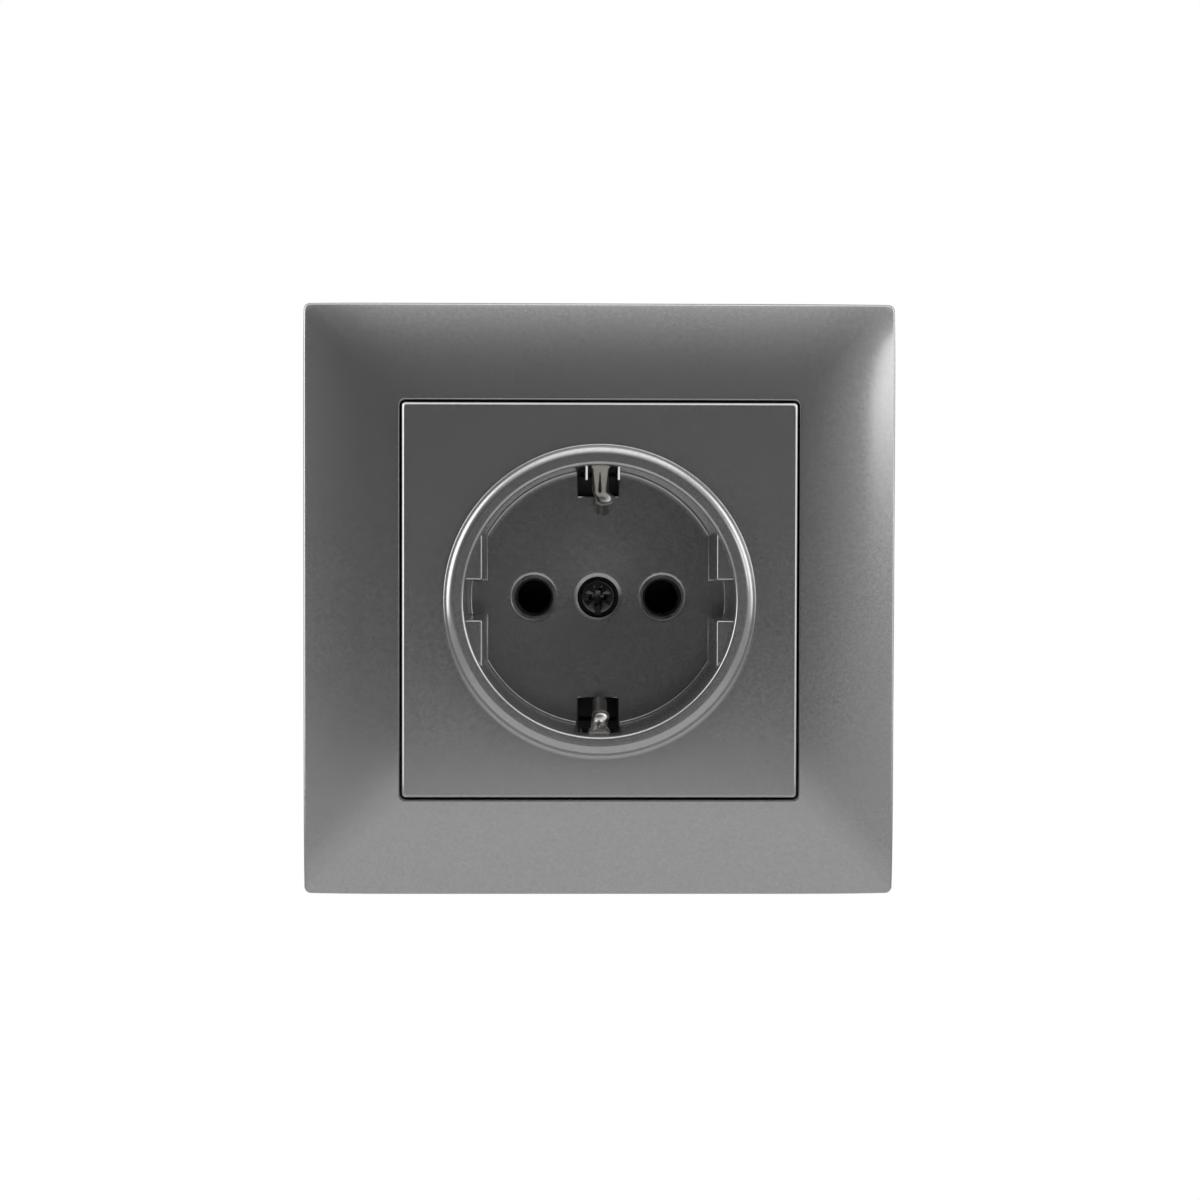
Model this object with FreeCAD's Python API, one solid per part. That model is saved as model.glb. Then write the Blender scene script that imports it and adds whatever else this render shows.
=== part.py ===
import FreeCAD, Part
import math
import os

from FreeCAD import Vector

# Type F wall socket with its cover frame, in millimetres. It is drawn with x to the right, y up and
# z out of the wall towards the user, from the socket's axis and the wall's face at z = 0. The last
# step stands it upright, so that its front faces -Y and its top +Z.

# Cover frame
frame_side = 85.0
frame_corner_radius = 0.9
frame_edge_height = 6.3
frame_crown = 4.0
frame_crown_power = 4
frame_crown_overhang = 1.3
frame_crown_margin = 1.06
frame_draft = 0.2
frame_edge_bevel = 0.35
frame_wall = 1.8
frame_skin = 2.0
frame_collar = 1.6
frame_lip_width = 1.5
frame_lip_thickness = 1.4
frame_opening_corner = 0.9
frame_rib_thickness = 1.2
frame_rib_spacing = 40.0

# Centre plate
plate_side = 56.0
plate_gap = 0.3
plate_corner_radius = 0.5
plate_edge_bevel = 0.3
plate_face = 10.4
plate_skin = 2.0
plate_skirt_depth = 4.4
plate_skirt_wall = 1.5
plate_rib_thickness = 1.2
plate_rib_height = 1.8
plate_rib_spacing = 28.0

# Raised ring and recess
recess_radius = 19.1
recess_draft = 0.15
recess_depth = 17.5
recess_wall = 1.9
floor_thickness = 2.2
ring_height = 1.8
ring_mouth_bevel = 0.5
ring_land = 1.0
ring_shoulder_round = 0.95
ring_shoulder_steps = 3
ring_foot = 0.5

# Plug guides and pin holes
pin_spacing = 19.0
pin_hole_radius = 2.8
pin_hole_rim = 0.65
guide_distance = 16.4
guide_slot = 5.2
guide_draft = 0.2
guide_corner = 0.4
guide_drop = 2.8

# Earth slots and earth bracket
earth_slot_width = 6.0
earth_slot_reach = 14.9
earth_slot_drop = 4.6
strap_thickness = 0.8
strap_width = 7.0
strap_inset = 0.2
strap_fit = 0.3
upright_width = 4.9
upright_radius = 20.2
upright_flange_reach = 17.2
upright_flange_height = 10.0
fold_drop = 1.0
fold_radius = 0.8
fold_width = 2.6
fold_taper = 4.0
finger_width = 1.7
finger_thickness = 0.6
finger_nose_radius = 15.65
finger_nose_drop = 8.9
finger_tip_radius = 12.95
finger_tip_drop = 15.2
finger_bend = 2.2
finger_set = 1.1
earth_leg_width = 6.4
earth_leg_offset = 5.9
earth_leg_length = 10.0
earth_leg_gap = 0.15

# Centre screw
screw_hole_radius = 3.03
screw_hole_rim = 0.47
screw_sink = 1.1
screw_head_radius = 2.55
screw_head_height = 1.8
screw_seat = 1.0
screw_boss_wall = 0.8
screw_shank_radius = 1.45
screw_length = 11.0
screw_turn = 90.0
screw_clearance = 0.2
screw_thread_clearance = 0.05
screw_collar_radius = 2.6
screw_collar_height = 1.6

# Support plate
support_side = 71.0
support_thickness = 1.0
support_corner_radius = 5.0
support_clearance = 1.5
box_screw_spacing = 60.0
box_slot_radius = 2.2
box_slot_length = 7.2
tab_width = 8.0
tab_length = 17.0
tab_bend = 0.8
tab_relief = 0.6
rivet_radius = 1.25
rivet_head_radius = 2.2
rivet_head_height = 0.7
rivet_depth = 3.0
rivet_drop = 13.0

# Base and contact cover
base_width = 45.6
base_height = 39.2
base_radius = 26.5
base_floor = 5.0
base_corner_round = 1.0
base_rear_bevel = 0.8
cover_thickness = 1.2
cover_gap = 0.3
cover_margin = 0.4
cover_pin_gap = 0.15

# Contacts and their springs
sleeve_radius = 2.35
sleeve_wall = 0.65
sleeve_length = 14.7
sleeve_slit = 0.9
sleeve_root = 3.5
contact_inset = 0.3
contact_fit = 0.25
tail_thickness = 0.8
tail_distance = 17.5
tail_width = 25.2
tail_height = 12.0
tail_strap_width = 6.0
spring_wall = 0.45
spring_width = 4.0
spring_fit = 0.05
spring_drop = 1.2
spring_gap_angle = 70.0
contact_room = 0.7

# Terminals
terminal_spacing = 16.0
terminal_drop = 8.0
terminal_notch = 8.0
terminal_screw_radius = 1.7
terminal_head_radius = 3.0
terminal_head_height = 2.0
terminal_tip = 1.6
terminal_wire_gap = 3.0
clamp_side = 6.8
clamp_thickness = 1.0
clamp_fit = 0.2
drive_slot = 0.8
drive_cross = 1.0
drive_reach = 0.6
drive_depth = 0.9

# Cutters run this far past the faces they open, and edges on a level are found to within the other
overshoot = 1.0
level_tolerance = 0.01

# Levels along z and radii that follow from the sizes above
opening_side = plate_side + 2 * plate_gap
lip_front = plate_face - plate_skirt_depth
lip_back = lip_front - frame_lip_thickness
ring_top = plate_face + ring_height
floor_front = ring_top - recess_depth
floor_back = floor_front - floor_thickness
cup_radius = recess_radius + recess_wall
screw_seat_level = floor_front - screw_sink - screw_head_height
base_front = min(floor_back - cover_gap - cover_thickness, screw_seat_level - screw_seat + strap_inset)
strap_front = base_front - strap_inset
strap_back = strap_front - strap_thickness
sleeve_front = base_front - contact_inset
sleeve_back = sleeve_front - sleeve_length
base_back = sleeve_back - base_floor
terminal_level = base_front - terminal_drop
fold_top = ring_top - earth_slot_drop - fold_drop
leg_face = upright_radius + strap_thickness / 2
tail_face = tail_distance + tail_thickness
tail_top = sleeve_back + tail_height
pin_x = pin_spacing / 2
strap_bend = 2 * strap_thickness
bend_inside = upright_radius - strap_bend - strap_thickness / 2


def box(x_range, y_range, z_range):
    """A block between two values of each of x, y and z."""
    size = Vector(x_range[1] - x_range[0], y_range[1] - y_range[0], z_range[1] - z_range[0])
    return Part.makeBox(size.x, size.y, size.z, Vector(x_range[0], y_range[0], z_range[0]))


def disc(radius, z_range, x=0.0, y=0.0):
    """A cylinder along z between two levels."""
    return Part.makeCylinder(radius, z_range[1] - z_range[0], Vector(x, y, z_range[0]))


def square_wire(width, height, radius, z):
    """The outline of a rectangle with round corners, centred on the axis."""
    a = width / 2
    b = height / 2
    k = radius * (1 - math.sqrt(0.5))
    edges = []
    for turn in range(4):
        along, across = (a, b) if turn % 2 == 0 else (b, a)
        corner_start = Vector(along, across - radius, z)
        corner_middle = Vector(along - k, across - k, z)
        corner_end = Vector(along - radius, across, z)
        side = Part.LineSegment(Vector(along, radius - across, z), corner_start).toShape()
        corner = Part.Arc(corner_start, corner_middle, corner_end).toShape()
        for edge in (side, corner):
            edge.rotate(Vector(0, 0, 0), Vector(0, 0, 1), 90 * turn)
            edges.append(edge)
    return Part.Wire(Part.__sortEdges__(edges))


def square_prism(width, height, radius, z_range):
    """A block with round upright edges, centred on the axis."""
    face = Part.Face(square_wire(width, height, radius, z_range[0]))
    return face.extrude(Vector(0, 0, z_range[1] - z_range[0]))


def slot_prism(x, y, length, radius, along_x, z_range):
    """A round-ended slot along x or y."""
    reach = length / 2 - radius
    dx, dy = (reach, 0) if along_x else (0, reach)
    ends = [disc(radius, z_range, x + sign * dx, y + sign * dy) for sign in (-1, 1)]
    half_x = reach if along_x else radius
    half_y = radius if along_x else reach
    return fused([box((x - half_x, x + half_x), (y - half_y, y + half_y), z_range)] + ends)


def turned(edges):
    """The solid swept by a closed outline in the x-z plane, turned about the z axis."""
    face = Part.Face(Part.Wire(edges))
    return face.revolve(Vector(0, 0, 0), Vector(0, 0, 1), 360)


def outline(*points):
    """Straight edges from point to point in the x-z plane."""
    vectors = [Vector(radius, 0, z) for radius, z in points]
    return [Part.LineSegment(a, b).toShape() for a, b in zip(vectors, vectors[1:])]


def rimmed_hole(radius, rim, front, back, x=0.0):
    """A cutter for a hole whose front edge is broken by a bevel."""
    cutter = turned(outline((0, front), (0, back), (radius, back), (radius, front - rim), (radius + rim, front),
                            (0, front)))
    cutter.translate(Vector(x, 0, 0))
    return cutter


def bent_path(points, radii):
    """A wire through the points, with each inner corner rounded to its radius."""
    edges = []
    start = points[0]
    for corner, after, radius in zip(points[1:-1], points[2:], radii):
        incoming = (corner - start).normalize()
        outgoing = (after - corner).normalize()
        turn = incoming.getAngle(outgoing)
        setback = radius * math.tan(turn / 2)
        arc_start = corner - incoming * setback
        arc_end = corner + outgoing * setback
        inward = (outgoing - incoming).normalize()
        arc_middle = corner + inward * (radius / math.cos(turn / 2) - radius)
        edges.append(Part.LineSegment(start, arc_start).toShape())
        edges.append(Part.Arc(arc_start, arc_middle, arc_end).toShape())
        start = arc_end
    edges.append(Part.LineSegment(start, points[-1]).toShape())
    return Part.Wire(edges)


def bent_strip(points, radii, width, thickness, across):
    """A flat strip of sheet bent along a path, with its width in the direction across."""
    path = bent_path(points, radii)
    along = (points[1] - points[0]).normalize()
    normal = along.cross(across).normalize()
    half = across * (width / 2)
    lift = normal * (thickness / 2)
    start = points[0]
    corners = [start - half - lift, start + half - lift, start + half + lift, start - half + lift]
    section = Part.makePolygon(corners + corners[:1])
    return path.makePipeShell([section], True, False)


def fused(shapes):
    """One solid from shapes that meet."""
    return shapes[0].multiFuse(shapes[1:]).removeSplitter()


def mirrored_x(shape):
    return shape.mirror(Vector(0, 0, 0), Vector(1, 0, 0))


def mirrored_y(shape):
    return shape.mirror(Vector(0, 0, 0), Vector(0, 1, 0))


def half_turned(shape):
    """The shape turned half round about the socket's axis."""
    copy = shape.copy()
    copy.rotate(Vector(0, 0, 0), Vector(0, 0, 1), 180)
    return copy


def above_crown():
    """All that lies above the frame's crowned front, which is one smooth patch."""
    power = frame_crown_power
    reach = frame_side / 2 + frame_crown_overhang
    span = frame_crown_margin
    weights = [1 - span ** power * (-1) ** (power - i) for i in range(power + 1)]
    places = [reach * span * (2 * i / power - 1) for i in range(power + 1)]
    patch = Part.BezierSurface()
    patch.increase(power, power)
    for i in range(power + 1):
        for j in range(power + 1):
            height = frame_edge_height + frame_crown * weights[i] * weights[j]
            patch.setPole(i + 1, j + 1, Vector(places[i], places[j], height))
    return patch.toShape().extrude(Vector(0, 0, 4 * plate_face))


def make_cover_frame():
    """Moulded frame: crowned front, thin walls, ribs, and a lip that the centre plate clamps."""
    top = frame_edge_height + 2 * frame_crown
    rear = square_wire(frame_side, frame_side, frame_corner_radius, 0)
    slope = 2 * frame_draft * top / frame_edge_height
    front = square_wire(frame_side - slope, frame_side - slope, frame_corner_radius, top)
    body = Part.makeLoft([rear, front], True, True).cut(above_crown())
    rim = [edge for edge in body.Edges if edge.BoundBox.ZMin > frame_edge_height / 2]
    body = body.makeFillet(frame_edge_bevel, rim)

    inside = frame_side - 2 * (frame_wall + frame_draft)
    collar_side = opening_side + 2 * frame_collar
    lip_side = opening_side - 2 * frame_lip_width
    wall_top = frame_edge_height - frame_skin
    collar_top = frame_edge_height + frame_crown - frame_skin
    cavity = square_prism(inside, inside, frame_opening_corner, (-overshoot, wall_top))
    low = square_wire(inside, inside, frame_opening_corner, wall_top)
    high = square_wire(collar_side, collar_side, frame_opening_corner, collar_top - frame_collar / 2)
    cavity = cavity.fuse(Part.makeLoft([low, high], True, True))
    cavity = cavity.cut(square_prism(collar_side, collar_side, frame_opening_corner, (lip_back, top)))
    half_rib = frame_rib_thickness / 2
    for offset in (-frame_rib_spacing / 2, frame_rib_spacing / 2):
        rib_range = (offset - half_rib, offset + half_rib)
        cavity = cavity.cut(box(rib_range, (-frame_side, frame_side), (lip_back, top)))
        cavity = cavity.cut(box((-frame_side, frame_side), rib_range, (lip_back, top)))

    opening = square_prism(opening_side, opening_side, frame_opening_corner, (lip_front, top))
    lip_opening = square_prism(lip_side, lip_side, frame_opening_corner, (-overshoot, top))
    return body.cut(cavity.multiFuse([opening, lip_opening]))


def recess_and_ring():
    """The recess with its raised ring, as one turned shape."""
    land_start = recess_radius + ring_mouth_bevel
    land_end = land_start + ring_land
    shoulder_z = ring_top - ring_shoulder_round
    foot = land_end + ring_shoulder_round + ring_foot
    skin_middle = plate_face - plate_skin / 2
    angles = [math.radians(90 * step / ring_shoulder_steps) for step in range(ring_shoulder_steps + 1)]
    round_points = [(land_end + ring_shoulder_round * math.sin(angle),
                     shoulder_z + ring_shoulder_round * math.cos(angle)) for angle in angles]
    inner_points = [(0, floor_front), (recess_radius - recess_draft, floor_front),
                    (recess_radius, ring_top - ring_mouth_bevel), (land_start, ring_top)]
    outer_points = [(foot, plate_face), (foot, skin_middle), (cup_radius, skin_middle),
                    (cup_radius, floor_back), (0, floor_back), (0, floor_front)]
    return turned(outline(*inner_points, *round_points, *outer_points))


def guide_wire(distance, half_slot, z):
    """The outline of one plug guide at one level, reaching into the recess wall."""
    far = recess_radius + recess_wall
    r = guide_corner
    k = r * (1 - math.sqrt(0.5))
    corner_start = Vector(distance, half_slot + r, z)
    corner_end = Vector(distance + r, half_slot, z)
    corner = Part.Arc(corner_start, Vector(distance + k, half_slot + k, z), corner_end).toShape()
    points = [corner_end, Vector(far, half_slot, z), Vector(far, far, z), Vector(distance, far, z),
              corner_start]
    sides = [Part.LineSegment(a, b).toShape() for a, b in zip(points, points[1:])]
    return Part.Wire([corner] + sides)


def make_guide():
    """One of the four drafted guides that keep the plug from turning."""
    guide_top = ring_top - guide_drop
    half_slot = guide_slot / 2
    low = guide_wire(guide_distance, half_slot, floor_front - floor_thickness / 2)
    high = guide_wire(guide_distance + guide_draft, half_slot + guide_draft, guide_top)
    block = Part.makeLoft([low, high], True, True)
    return block.common(disc(recess_radius + recess_wall / 2, (floor_back, guide_top)))


def make_centre_plate():
    """Moulded centre plate: square face and skirt, raised ring, recess and all its openings."""
    skin_back = plate_face - plate_skin
    inside = plate_side - 2 * plate_skirt_wall
    plate = square_prism(plate_side, plate_side, plate_corner_radius, (lip_front, plate_face))
    rim = [edge for edge in plate.Edges if edge.BoundBox.ZMin > plate_face - level_tolerance]
    plate = plate.makeChamfer(plate_edge_bevel, rim)
    plate = plate.cut(square_prism(inside, inside, plate_corner_radius, (lip_front - overshoot, skin_back)))
    plate = plate.cut(disc(recess_radius + ring_mouth_bevel, (lip_front - overshoot, ring_top)))

    pieces = [plate, recess_and_ring()]
    guide = make_guide()
    for shape in (guide, mirrored_y(guide)):
        pieces += [shape, mirrored_x(shape)]
    boss_radius = screw_hole_radius + screw_boss_wall
    pieces.append(disc(boss_radius, (strap_front, floor_front - floor_thickness / 2)))
    half_rib = plate_rib_thickness / 2
    offset = plate_rib_spacing / 2
    rib_start = math.sqrt(cup_radius ** 2 - offset ** 2) - recess_wall / 2
    rib_end = plate_side / 2 - plate_skirt_wall / 2
    rib = box((offset - half_rib, offset + half_rib), (rib_start, rib_end),
              (skin_back - plate_rib_height, plate_face - plate_skin / 2))
    for shape in (rib, mirrored_x(rib)):
        for turn in range(4):
            copy = shape.copy()
            copy.rotate(Vector(0, 0, 0), Vector(0, 0, 1), 90 * turn)
            pieces.append(copy)
    body = fused(pieces)

    half_slot = earth_slot_width / 2
    slot_range = (floor_back - overshoot, ring_top - earth_slot_drop)
    earth_slot = box((-half_slot, half_slot), (earth_slot_reach, cup_radius + overshoot), slot_range)
    cuts = [earth_slot, mirrored_y(earth_slot)]
    for x in (-pin_x, pin_x):
        cuts.append(rimmed_hole(pin_hole_radius, pin_hole_rim, floor_front, floor_back - overshoot, x))
    cuts.append(rimmed_hole(screw_hole_radius, screw_hole_rim, floor_front, screw_seat_level))
    cuts.append(disc(screw_shank_radius + screw_clearance, (strap_front - overshoot, floor_front)))
    return body.cut(cuts)


def make_screw(head_radius, head_height, shank_radius, length):
    """A screw along z with its seat at z = 0, a cheese head above and a driving slot."""
    screw = disc(head_radius, (0, head_height)).fuse(disc(shank_radius, (-length, 0)))
    half = drive_slot / 2
    z_range = (head_height - drive_depth, head_height + overshoot)
    slot = box((-head_radius, head_radius), (-half, half), z_range)
    return screw.cut(slot)


def make_cross(head_radius, head_height):
    """A cutter for a cross drive in a head with its seat at z = 0."""
    half = drive_cross / 2
    reach = head_radius * drive_reach
    z_range = (head_height - drive_depth, head_height + overshoot)
    long_arm = box((-reach, reach), (-half, half), z_range)
    return long_arm.fuse(box((-half, half), (-reach, reach), z_range))


def make_centre_screw():
    """The screw that pulls the centre plate against the earth strap."""
    screw = make_screw(screw_head_radius, screw_head_height, screw_shank_radius, screw_length)
    screw = screw.cut(make_cross(screw_head_radius, screw_head_height))
    screw.rotate(Vector(0, 0, 0), Vector(0, 0, 1), screw_turn)
    screw.translate(Vector(0, 0, screw_seat_level))
    return screw


def make_support_plate():
    """Pressed steel plate with box screw slots and two tabs bent back to carry the base."""
    z_range = (0, support_thickness)
    plate = square_prism(support_side, support_side, support_corner_radius, z_range)
    cut_range = (-overshoot, support_thickness + overshoot)
    plate = plate.cut(disc(cup_radius + support_clearance, cut_range))
    spacing = box_screw_spacing / 2
    for sign in (-1, 1):
        plate = plate.cut(slot_prism(sign * spacing, 0, box_slot_length, box_slot_radius, True, cut_range))
        plate = plate.cut(slot_prism(0, sign * spacing, box_slot_length, box_slot_radius, False, cut_range))

    middle = support_thickness / 2
    tab_x = base_width / 2 + middle
    bend = tab_bend + middle
    root_x = tab_x + bend
    half_relief = tab_width / 2 + tab_relief
    relief = box((0, root_x), (-half_relief, half_relief), cut_range)
    plate = plate.cut([relief, mirrored_x(relief)])
    points = [Vector(root_x + tab_relief, 0, middle), Vector(tab_x, 0, middle), Vector(tab_x, 0, -tab_length)]
    tab = bent_strip(points, [bend], tab_width, support_thickness, Vector(0, 1, 0))
    tab = tab.cut(Part.makeCylinder(rivet_radius, tab_x * 2, Vector(0, 0, -rivet_drop), Vector(1, 0, 0)))
    return fused([plate, tab, mirrored_x(tab)])


def make_rivet():
    """One rivet through a tab into the base, along x on the right-hand side."""
    seat = base_width / 2 + support_thickness
    end = -support_thickness - rivet_depth
    crown = rivet_head_radius - rivet_head_height
    rivet = turned(outline((0, rivet_head_height), (0, end), (rivet_radius, end), (rivet_radius, 0),
                           (rivet_head_radius, 0), (crown, rivet_head_height), (0, rivet_head_height)))
    rivet.rotate(Vector(0, 0, 0), Vector(0, 1, 0), 90)
    rivet.translate(Vector(seat, 0, -rivet_drop))
    return rivet


def finger_points(set_in):
    """The corners of a hairpin finger, from its upright over the fold to the nose and the tip."""
    upright_start = fold_top - upright_flange_height / 2
    fold = Vector(0, upright_radius, fold_top + fold_radius)
    nose = Vector(0, finger_nose_radius - set_in, ring_top - finger_nose_drop)
    tip = Vector(0, finger_tip_radius - set_in, ring_top - finger_tip_drop)
    return [Vector(0, upright_radius, upright_start), fold, nose, tip]


def make_finger(set_in):
    """One spring finger: sheet that folds over, tapers to its nose and bends down to its tip."""
    upright, fold, nose, tip = finger_points(set_in)
    across = Vector(1, 0, 0)
    ramp = (nose - fold).normalize()
    taper_end = fold + ramp * fold_taper
    flat = bent_strip([upright, fold, taper_end], [fold_radius], fold_width, finger_thickness, across)
    lead = bent_strip([fold + ramp * (fold_taper - finger_width), nose, tip], [finger_bend], finger_width,
                      finger_thickness, across)
    return [flat, lead]


def make_earth_bracket():
    """One folded strap: tapped middle, two flanged uprights with hairpin fingers, two terminal legs."""
    half_upright = upright_width / 2
    thin = strap_thickness / 2
    strap_middle = (strap_front + strap_back) / 2
    upright_top = fold_top - upright_flange_height / 2
    points = [Vector(0, upright_radius, upright_top + overshoot), Vector(0, upright_radius, strap_middle),
              Vector(0, -upright_radius, strap_middle), Vector(0, -upright_radius, upright_top + overshoot)]
    pieces = [bent_strip(points, [strap_bend, strap_bend], upright_width, strap_thickness, Vector(1, 0, 0))]
    straight = upright_radius - strap_bend
    pieces.append(box((-strap_width / 2, strap_width / 2), (-straight, straight), (strap_back, strap_front)))
    pieces.append(disc(screw_collar_radius, (strap_back - screw_collar_height, strap_front)))

    flange_sides = (half_upright - strap_thickness, half_upright)
    flange_range = (fold_top - upright_flange_height, fold_top)
    upper = box(flange_sides, (upright_flange_reach, leg_face), flange_range)
    lower = mirrored_y(box(flange_sides, (upright_flange_reach + 2 * finger_set, leg_face), flange_range))
    for flange in (upper, lower):
        pieces += [flange, mirrored_x(flange)]
    web = box((-half_upright, half_upright), (upright_radius - thin, leg_face),
              (upright_top, fold_top - fold_radius))
    pieces += [web, mirrored_y(web)]

    leg_points = [Vector(earth_leg_offset, straight - earth_leg_width, strap_middle),
                  Vector(earth_leg_offset, upright_radius, strap_middle),
                  Vector(earth_leg_offset, upright_radius, strap_middle - earth_leg_length)]
    leg = bent_strip(leg_points, [strap_bend], earth_leg_width, strap_thickness, Vector(1, 0, 0))
    tapped = terminal_screw_radius + screw_thread_clearance
    leg = leg.cut(Part.makeCylinder(tapped, 2 * upright_radius, Vector(earth_leg_offset, 0, terminal_level),
                                    Vector(0, 1, 0)))
    pieces += [leg, half_turned(leg)]

    pieces += make_finger(finger_set)
    pieces += [mirrored_y(shape) for shape in make_finger(-finger_set)]
    bracket = fused(pieces)
    thread = screw_shank_radius + screw_thread_clearance
    return bracket.cut(disc(thread, (strap_back - screw_collar_height - overshoot, strap_front + overshoot)))


def make_contact():
    """The right-hand contact: a split sleeve for the pin, a foot strap and an upright tail plate."""
    outer = sleeve_radius + sleeve_wall
    sleeve = disc(outer, (sleeve_back, sleeve_front), pin_x)
    bore = disc(sleeve_radius, (sleeve_back - overshoot, sleeve_front + overshoot), pin_x)
    half_slit = sleeve_slit / 2
    slit = box((pin_x - half_slit, pin_x + half_slit), (-2 * outer, 2 * outer),
               (sleeve_back + sleeve_root, sleeve_front + overshoot))
    foot_range = (sleeve_back, sleeve_back + tail_thickness)
    half_foot = tail_strap_width / 2
    foot = box((pin_x, tail_face), (-half_foot, half_foot), foot_range)
    tail = box((tail_distance, tail_face), (-tail_width / 2, tail_width / 2), (sleeve_back, tail_top))
    cuts = [bore, slit]
    tapped = terminal_screw_radius + screw_thread_clearance
    for y in (-terminal_spacing / 2, terminal_spacing / 2):
        start = Vector(tail_distance - overshoot, y, terminal_level)
        cuts.append(Part.makeCylinder(tapped, tail_thickness + 2 * overshoot, start, Vector(1, 0, 0)))
    return fused([sleeve, foot, tail]).cut(cuts)


def make_contact_spring():
    """The open spring clip that presses the right-hand sleeve onto the pin."""
    inner = sleeve_radius + sleeve_wall + spring_fit
    outer = inner + spring_wall
    top = sleeve_front - spring_drop
    z_range = (top - spring_width, top)
    low = z_range[0] - overshoot
    high = z_range[1] + overshoot
    ring = disc(outer, z_range, pin_x).cut(disc(inner, (low, high), pin_x))
    reach = 2 * outer
    spread = reach * math.tan(math.radians(spring_gap_angle / 2))
    middle = Vector(pin_x, 0, low)
    far = [Vector(pin_x - reach, side * spread, low) for side in (-1, 1)]
    wedge = Part.makePolygon([middle] + far + [middle])
    return ring.cut(Part.Face(wedge).extrude(Vector(0, 0, high - low)))


def make_contact_cover():
    """Thin insulating cover over the contact chambers, with holes for the pins and the screw boss."""
    z_range = (base_front, base_front + cover_thickness)
    cut_range = (base_front - overshoot, base_front + cover_thickness + overshoot)
    width = base_width - 2 * cover_margin
    height = base_height - 2 * cover_margin
    cover = square_prism(width, height, base_corner_round, z_range)
    cover = cover.common(disc(base_radius - cover_margin, z_range))
    cuts = [disc(screw_hole_radius + screw_boss_wall + cover_margin, cut_range)]
    for x in (-pin_x, pin_x):
        cuts.append(disc(sleeve_radius + cover_pin_gap, cut_range, x))
    half_notch = upright_width / 2 + strap_fit
    notch = box((-half_notch, half_notch), (bend_inside - strap_fit, base_height), cut_range)
    return cover.cut(cuts + [notch, mirrored_y(notch)])


def contact_chamber():
    """The room in the base for the right-hand contact, open to the front."""
    front = base_front + overshoot
    room = sleeve_radius + sleeve_wall + spring_fit + spring_wall + contact_room
    half_foot = tail_strap_width / 2 + contact_fit
    half_tail = tail_width / 2 + contact_fit
    sleeve_room = disc(room, (sleeve_back, front), pin_x)
    foot_room = box((pin_x, tail_face + contact_fit), (-half_foot, half_foot), (sleeve_back, front))
    tail_room = box((tail_distance - contact_fit, tail_face + contact_fit), (-half_tail, half_tail),
                    (sleeve_back, front))
    return [sleeve_room, foot_room, tail_room]


def terminal_notches():
    """The open corners of the base at the right-hand terminals, with room for the screw tips."""
    inner = tail_distance - terminal_tip - contact_fit
    half = terminal_notch / 2
    z_range = (base_back - overshoot, terminal_level + half)
    centres = (-terminal_spacing / 2, terminal_spacing / 2)
    return [box((inner, base_width), (y - half, y + half), z_range) for y in centres]


def make_socket_base():
    """Moulded base: contact chambers, terminal notches, earth channel and screw room."""
    z_range = (base_back, base_front)
    base = square_prism(base_width, base_height, base_corner_round, z_range)
    base = base.common(disc(base_radius, z_range))
    rear = [edge for edge in base.Edges if edge.BoundBox.ZMax < base_back + level_tolerance]
    base = base.makeChamfer(base_rear_bevel, rear)

    cuts = []
    for cut in contact_chamber() + terminal_notches():
        cuts += [cut, mirrored_x(cut)]
    half_strap = strap_width / 2 + strap_fit
    front = base_front + overshoot
    cuts.append(box((-half_strap, half_strap), (-base_height, base_height), (strap_back, front)))
    cuts.append(disc(screw_hole_radius + screw_boss_wall + contact_fit, (strap_back, front)))
    leg_half = earth_leg_width / 2 + strap_fit
    leg_start = upright_radius - strap_bend - earth_leg_width - strap_fit
    leg_room = box((earth_leg_offset - leg_half, earth_leg_offset + leg_half), (leg_start, base_height),
                   (strap_back, front))
    cuts += [leg_room, half_turned(leg_room)]
    bend_room = box((earth_leg_offset - leg_half, earth_leg_offset + leg_half), (bend_inside, base_height),
                    (strap_back - strap_bend, front))
    cuts += [bend_room, half_turned(bend_room)]
    channel_half = max(earth_leg_width, clamp_side) / 2 + strap_fit
    channel_start = upright_radius - strap_thickness / 2 - earth_leg_gap
    channel = box((earth_leg_offset - channel_half, earth_leg_offset + channel_half),
                  (channel_start, channel_start + base_height), (base_back - overshoot, front))
    cuts += [channel, half_turned(channel)]
    collar_room = strap_back - screw_collar_height - contact_fit
    cuts.append(disc(screw_collar_radius + contact_fit, (collar_room, front)))
    screw_end = screw_seat_level - screw_length - contact_room
    cuts.append(disc(screw_shank_radius + screw_clearance, (screw_end, front)))
    tip_half = terminal_screw_radius + screw_clearance
    tip_room = box((earth_leg_offset - tip_half, earth_leg_offset + tip_half),
                   (leg_face - strap_thickness - terminal_tip - contact_fit, base_height),
                   (terminal_level - tip_half, terminal_level + tip_half))
    cuts += [tip_room, half_turned(tip_room)]
    rivet_start = base_width / 2 - rivet_depth
    rivet_end = Vector(rivet_start, 0, -rivet_drop)
    rivet_hole = Part.makeCylinder(rivet_radius, base_width, rivet_end, Vector(1, 0, 0))
    cuts += [rivet_hole, mirrored_x(rivet_hole)]
    return base.cut(cuts)


def terminal_pair():
    """A clamping plate and its screw along z, with the tapped plate's face at z = 0."""
    half = clamp_side / 2
    lift = terminal_wire_gap
    clamp = box((-half, half), (-half, half), (lift, lift + clamp_thickness))
    hole_range = (lift - overshoot, lift + clamp_thickness + overshoot)
    clamp = clamp.cut(disc(terminal_screw_radius + clamp_fit, hole_range))
    length = lift + clamp_thickness + tail_thickness + terminal_tip
    screw = make_screw(terminal_head_radius, terminal_head_height, terminal_screw_radius, length)
    screw.translate(Vector(0, 0, lift + clamp_thickness))
    return {"clamp": clamp, "screw": screw}


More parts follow.
